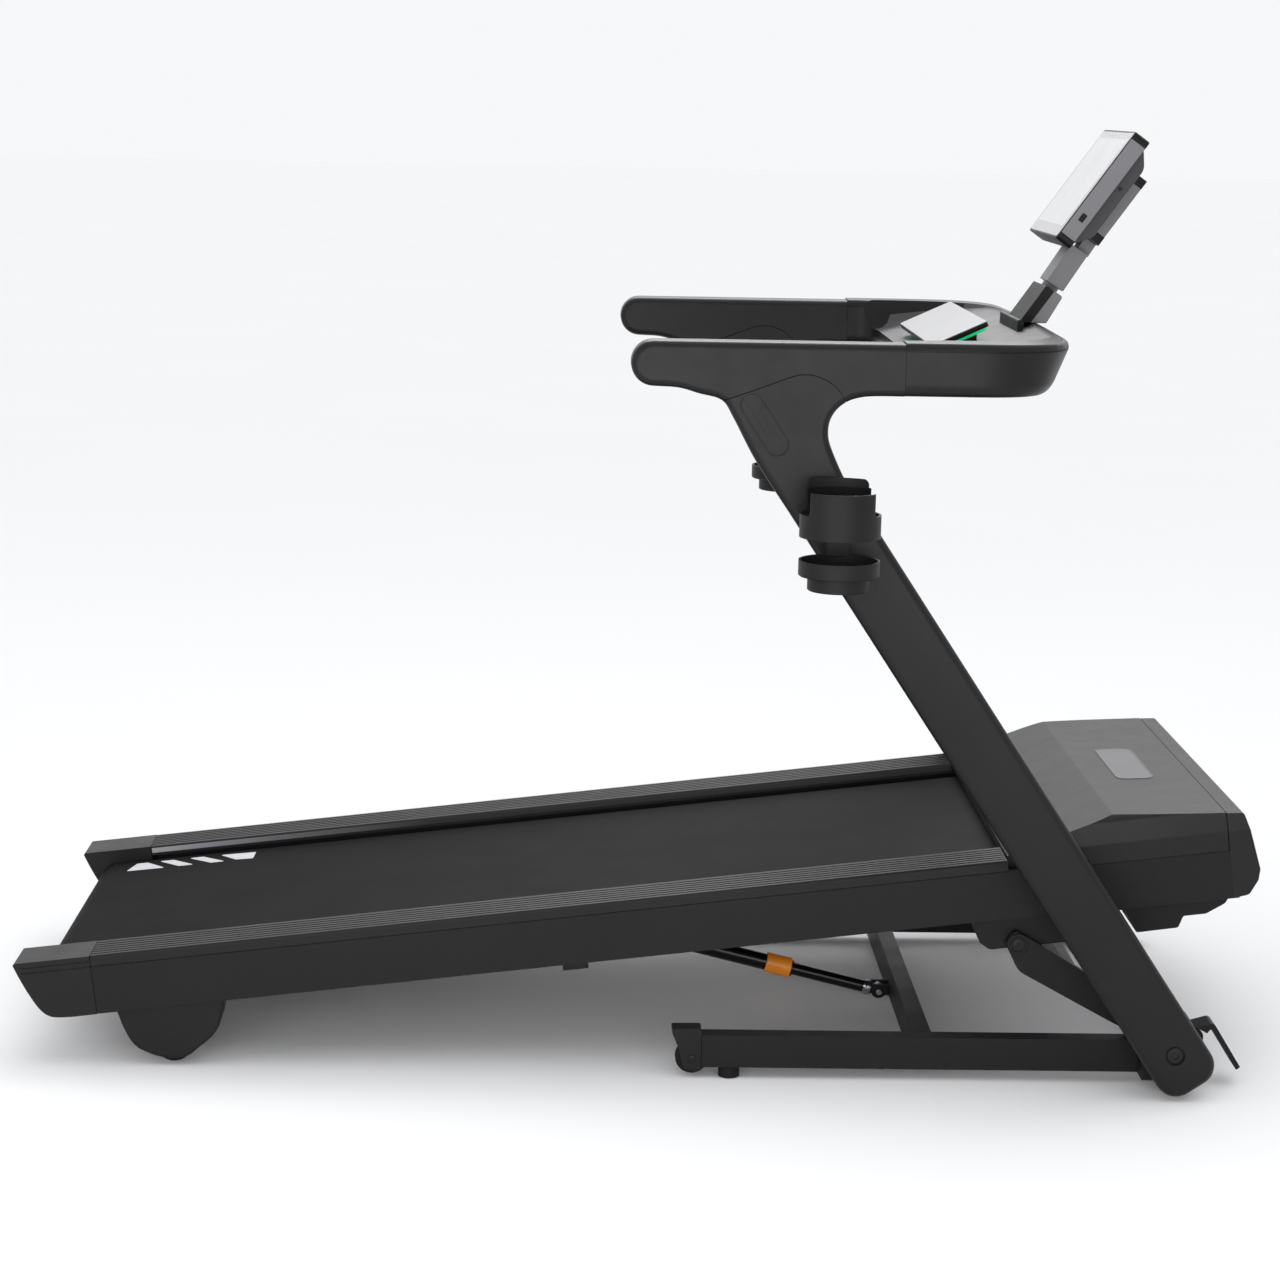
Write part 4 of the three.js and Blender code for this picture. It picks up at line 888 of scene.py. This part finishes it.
for end in (-1, 1):
    notch = prism([(-20, 90), (122, 90), (122, 125.2), (-20, 125.2)], *sorted((end * 292, end * 372)))
    combine(hood, raw("notch", notch, DECK))
soften(hood, 1.1, 3, 18)
hood.data.set_sharp_from_angle(angle=math.radians(30))
finish(hood, "deck", "hood", "motor_hood")

TOP_FALL = math.atan2(189.7 - 174.6, 354 - 166)
TOP = DECK @ Matrix.Translation((0.166, 0, 0.1897)) @ Matrix.Rotation(TOP_FALL, 4, "Y")
rim = raw("hood_badge_rim", prism(box(50, 112, -113, 113, 17, 8), -0.2, 1.0, "Z"), TOP)
combine(rim, raw("core", prism(box(52, 110, -111, 111, 15, 8), 0.35, 3, "Z"), TOP))
finish(soften(rim, 0.3, 2), "deck", "screen")

cap_side = rounded([(HOOD_SPLIT + 1.0, 37.5), (369, 41, 8), (385, 63, 10), (389.1, 80, 8), (378, 144, 22),
                    (370, 172.6, 6), (HOOD_SPLIT + 1.0, 175.2)], 8)
cap = raw("hood_front_cap_shell", prism(cap_side, -HOOD_WIDE - 4, HOOD_WIDE + 4), DECK)
combine(cap, raw("section", prism(hood_section(30, 192.5, -0.3), 330, 400, "X"), DECK), "INTERSECT")
inside = raw("inside", prism([(330, 41.5), (366, 45), (381, 65.5), (385, 80), (374, 144), (366.4, 168.6),
                              (330, 171.4)], -HOOD_WIDE + 4, HOOD_WIDE - 4), DECK)
combine(inside, raw("section", prism(hood_section(20, 188.4, 4), 320, 400, "X"), DECK), "INTERSECT")
combine(cap, inside)
# the holes for the mains inlet and the switch
for low, high in ((230, 262), (190, 214)):
    combine(cap, raw("hole", prism(box(362, 400, 62, 86), low, high), DECK))
soften(cap, 1.2, 3, 30)
cap.data.set_sharp_from_angle(angle=math.radians(34))
finish(cap, "deck", "hood", "hood_front_cap")


# ------------------------------------------------------------------ bolts
def bolt_head(name, body, x, y, z, radius, side, matrix=None):
    profile = [(0, 0.0001), (radius * 0.42, 0.0001), (radius * 0.42, 1.6), (radius * 0.52, 1.6),
               (radius * 0.92, 1.1), (radius, 0.2), (radius, -3), (0, -3)]
    bm = lathe(profile if side > 0 else [(r, -h) for r, h in profile], 36, "Y")
    finish(soften(raw(name, shift(bm, x, y, z), matrix), 0), body, "black_steel")


def boss(name, body, x, y, z, radius, side):
    height = 3.0
    profile = [(0, height - 1.2), (radius - 5, height - 1.2), (radius - 4, height), (radius - 1, height),
               (radius, height - 1), (radius, -4), (0, -4)]
    bm = lathe(profile if side > 0 else [(r, -h) for r, h in profile], 40, "Y")
    finish(soften(raw(name, shift(bm, x, y, z)), 0), body, "plastic")


for hand, side in SIDES:
    boss(f"lift_pivot_boss_{hand}", "lift_frame", 597, side * 362, 212, 17, side)
    bolt_head(f"lift_pivot_bolt_{hand}", "lift_frame", 597, side * 364.2, 212, 8.5, side)
    bolt_head(f"wheel_bolt_{hand}", "base", 85.8, side * 404.2, 31.3, 6.5, side)

# ------------------------------------------------------------------ gas strut
STRUT_FOOT, STRUT_TOP = Vector((420, 0, 23)), Vector((-83, 0, 145.6))
strut_turn = (STRUT_TOP - STRUT_FOOT).normalized().to_track_quat("Z", "Y")
STRUT = Matrix.Translation(STRUT_FOOT * MM) @ strut_turn.to_matrix().to_4x4()
collar = lathe([(0, 15), (12.2, 15), (12.8, 16), (12.8, 22), (11.4, 24), (11.4, 28), (0, 28)], 40)
finish(soften(raw("strut_end_collar", collar, STRUT), 0), "strut_rod", "steel")

sleeve = raw("strut_sleeve_body", lathe([(14.4, 156), (16.6, 156), (17.4, 157.2), (17.4, 198), (16.6, 199.2),
                                         (14.4, 199.2)], 40, "Z", True), STRUT)
tab = raw("strut_sleeve_tab", prism(box(-7, 7, 138, 178, 3, 4), 14.8, 21.5),
          STRUT @ Matrix.Rotation(math.pi / 2, 4, "Z"))
finish(soften(sleeve, 0), "strut_release_sleeve", "orange", "strut_release_sleeve")
finish(soften(tab, 1, 2), "strut_release_sleeve", "orange")

# ------------------------------------------------------------------ screen, in its own frame: x back, z up
# HW and HT are half the housing's width and height
SCREEN = Matrix.Translation((0.7042, 0, 1.3878)) @ Matrix.Rotation(math.radians(35.4), 4, "Y")
HW, HT = 139, 102.5


def slab(name, x0, x1, y0, y1, z0, z1, look_name, radius=0, width=0.8, slot=None, node=()):
    """A block on the screen, with its corners rounded as seen from the front."""
    bm = prism(box(y0, y1, z0, z1, radius), x0, x1, "X")
    return finish(soften(raw(name, bm, SCREEN), width, 2), "screen", look_name, node)


housing = raw("screen_housing_frame", prism(box(-HW, HW, -HT, HT, 8, 8), 0.6, 28, "X"), SCREEN)
bulge = bevel_rim(prism(rounded([(27, -HT + 4, 3), (52, -HT + 36, 22), (52, HT - 36, 22), (27, HT - 6, 3)], 8),
                        -HW + 26, HW - 26), 3, 3)
finish(soften(raw("screen_back", bulge, SCREEN), 0), "screen", "screen_dark")
soften(housing, 1.0, 3, 34)
housing.data.set_sharp_from_angle(angle=math.radians(34))
finish(housing, "screen", "screen", "screen_housing")
for name, z0, z1 in (("top", HT - 17, HT + 0.5), ("bottom", -HT - 0.5, -HT + 17)):
    slab(f"screen_end_{name}", 0.2, 28.5, -HW - 0.5, HW + 0.5, z0, z1, "black", radius=7, slot="moulded_plastic")
slab("screen_bezel", -0.3, 1.2, -HW - 0.2, HW + 0.2, -HT - 0.2, HT + 0.2, "black", radius=8,
     slot="moulded_plastic")
slab("screen_face", -0.9, 0.4, -HW + 3, HW - 3, -HT + 3, HT - 3,
     panel_glass("screen_face_glass", (0.40, 0.40, 0.42), 0.22), radius=6, slot="glass", node="screen_glass")
slab("screen_display", -1.05, 0.2, -HW + 17, HW - 17, -HT + 22, HT - 16,
     panel_glass("screen_display_glass", (0.62, 0.62, 0.645), 0.18), radius=2, width=0.15, slot="glass")
for hand, side in SIDES:
    port = prism(box(10.5, 19.5, -60, -46, 1.5, 4), *span(side, HW - 1, HW + 0.25))
    finish(soften(raw(f"screen_port_{hand}", port, SCREEN), 0.1, 1), "screen", "black")
    bolt_head(f"screen_screw_{hand}", "screen", 39.6, side * (HW - 25.8), 19.8, 3.2, side, matrix=SCREEN)
slab("screen_mount_end_top", 51.9, 77.5, -50.4, 50.4, 44, 60.4, "black", radius=2, slot="moulded_plastic")
for hand, side in SIDES:
    slab(f"screen_mount_end_{hand}", 51.9, 77.5, *span(side, 26, 50.4), -67.4, -50, "black", radius=2,
         slot="moulded_plastic")

# ------------------------------------------------------------------ screen post
post_side = rounded([(603, 1163.4), (647.5, 1163.4), (672.3, 1206.5, 4), (645.3, 1223.9, 4)], 5)
post = soften(raw("screen_post_body", prism(post_side, -65, 65)), 2, 3)
finish(post, "base", "screen", "screen_post")
block_side = rounded([(602.2, 1163.5), (621.9, 1163.5), (658.4, 1214.9, 2), (644.6, 1224.3, 2)], 5)
block = soften(raw("screen_post_front", prism(block_side, -65.6, 65.6)), 1.5, 3)
finish(block, "base", "black")

# ------------------------------------------------------------------ pieces that keep the solid's own shape
PLAIN = {
    "paint": ["base_cross_tube", "base_front_tube", "lift_frame", "deck_frame", "base_rail_right",
              "base_rail_left"],
    "plastic": ["rail_end_cap_right", "rail_end_cap_left", "lower_cover", "power_inlet"],
    "rubber": ["transport_wheel_right", "transport_wheel_left", "levelling_foot_right", "levelling_foot_left",
               "front_foot_right", "front_foot_left", "rear_wheel_right", "rear_wheel_left", "drive_belt"],
    "steel": ["lift_pin_right", "lift_pin_left", "rear_roller", "front_roller", "drive_motor", "motor_pulley",
              "incline_motor", "incline_screw", "strut_pin"],
    "black_steel": ["strut_cylinder", "strut_rod", "strut_eye"],
    "screen": ["screen_arm", "screen_mount"],
    "red": ["power_switch"],
    "board": ["deck_board"],
}
for look_name, names in PLAIN.items():
    for node in names:
        from_cad(node, look_name, 0.8)
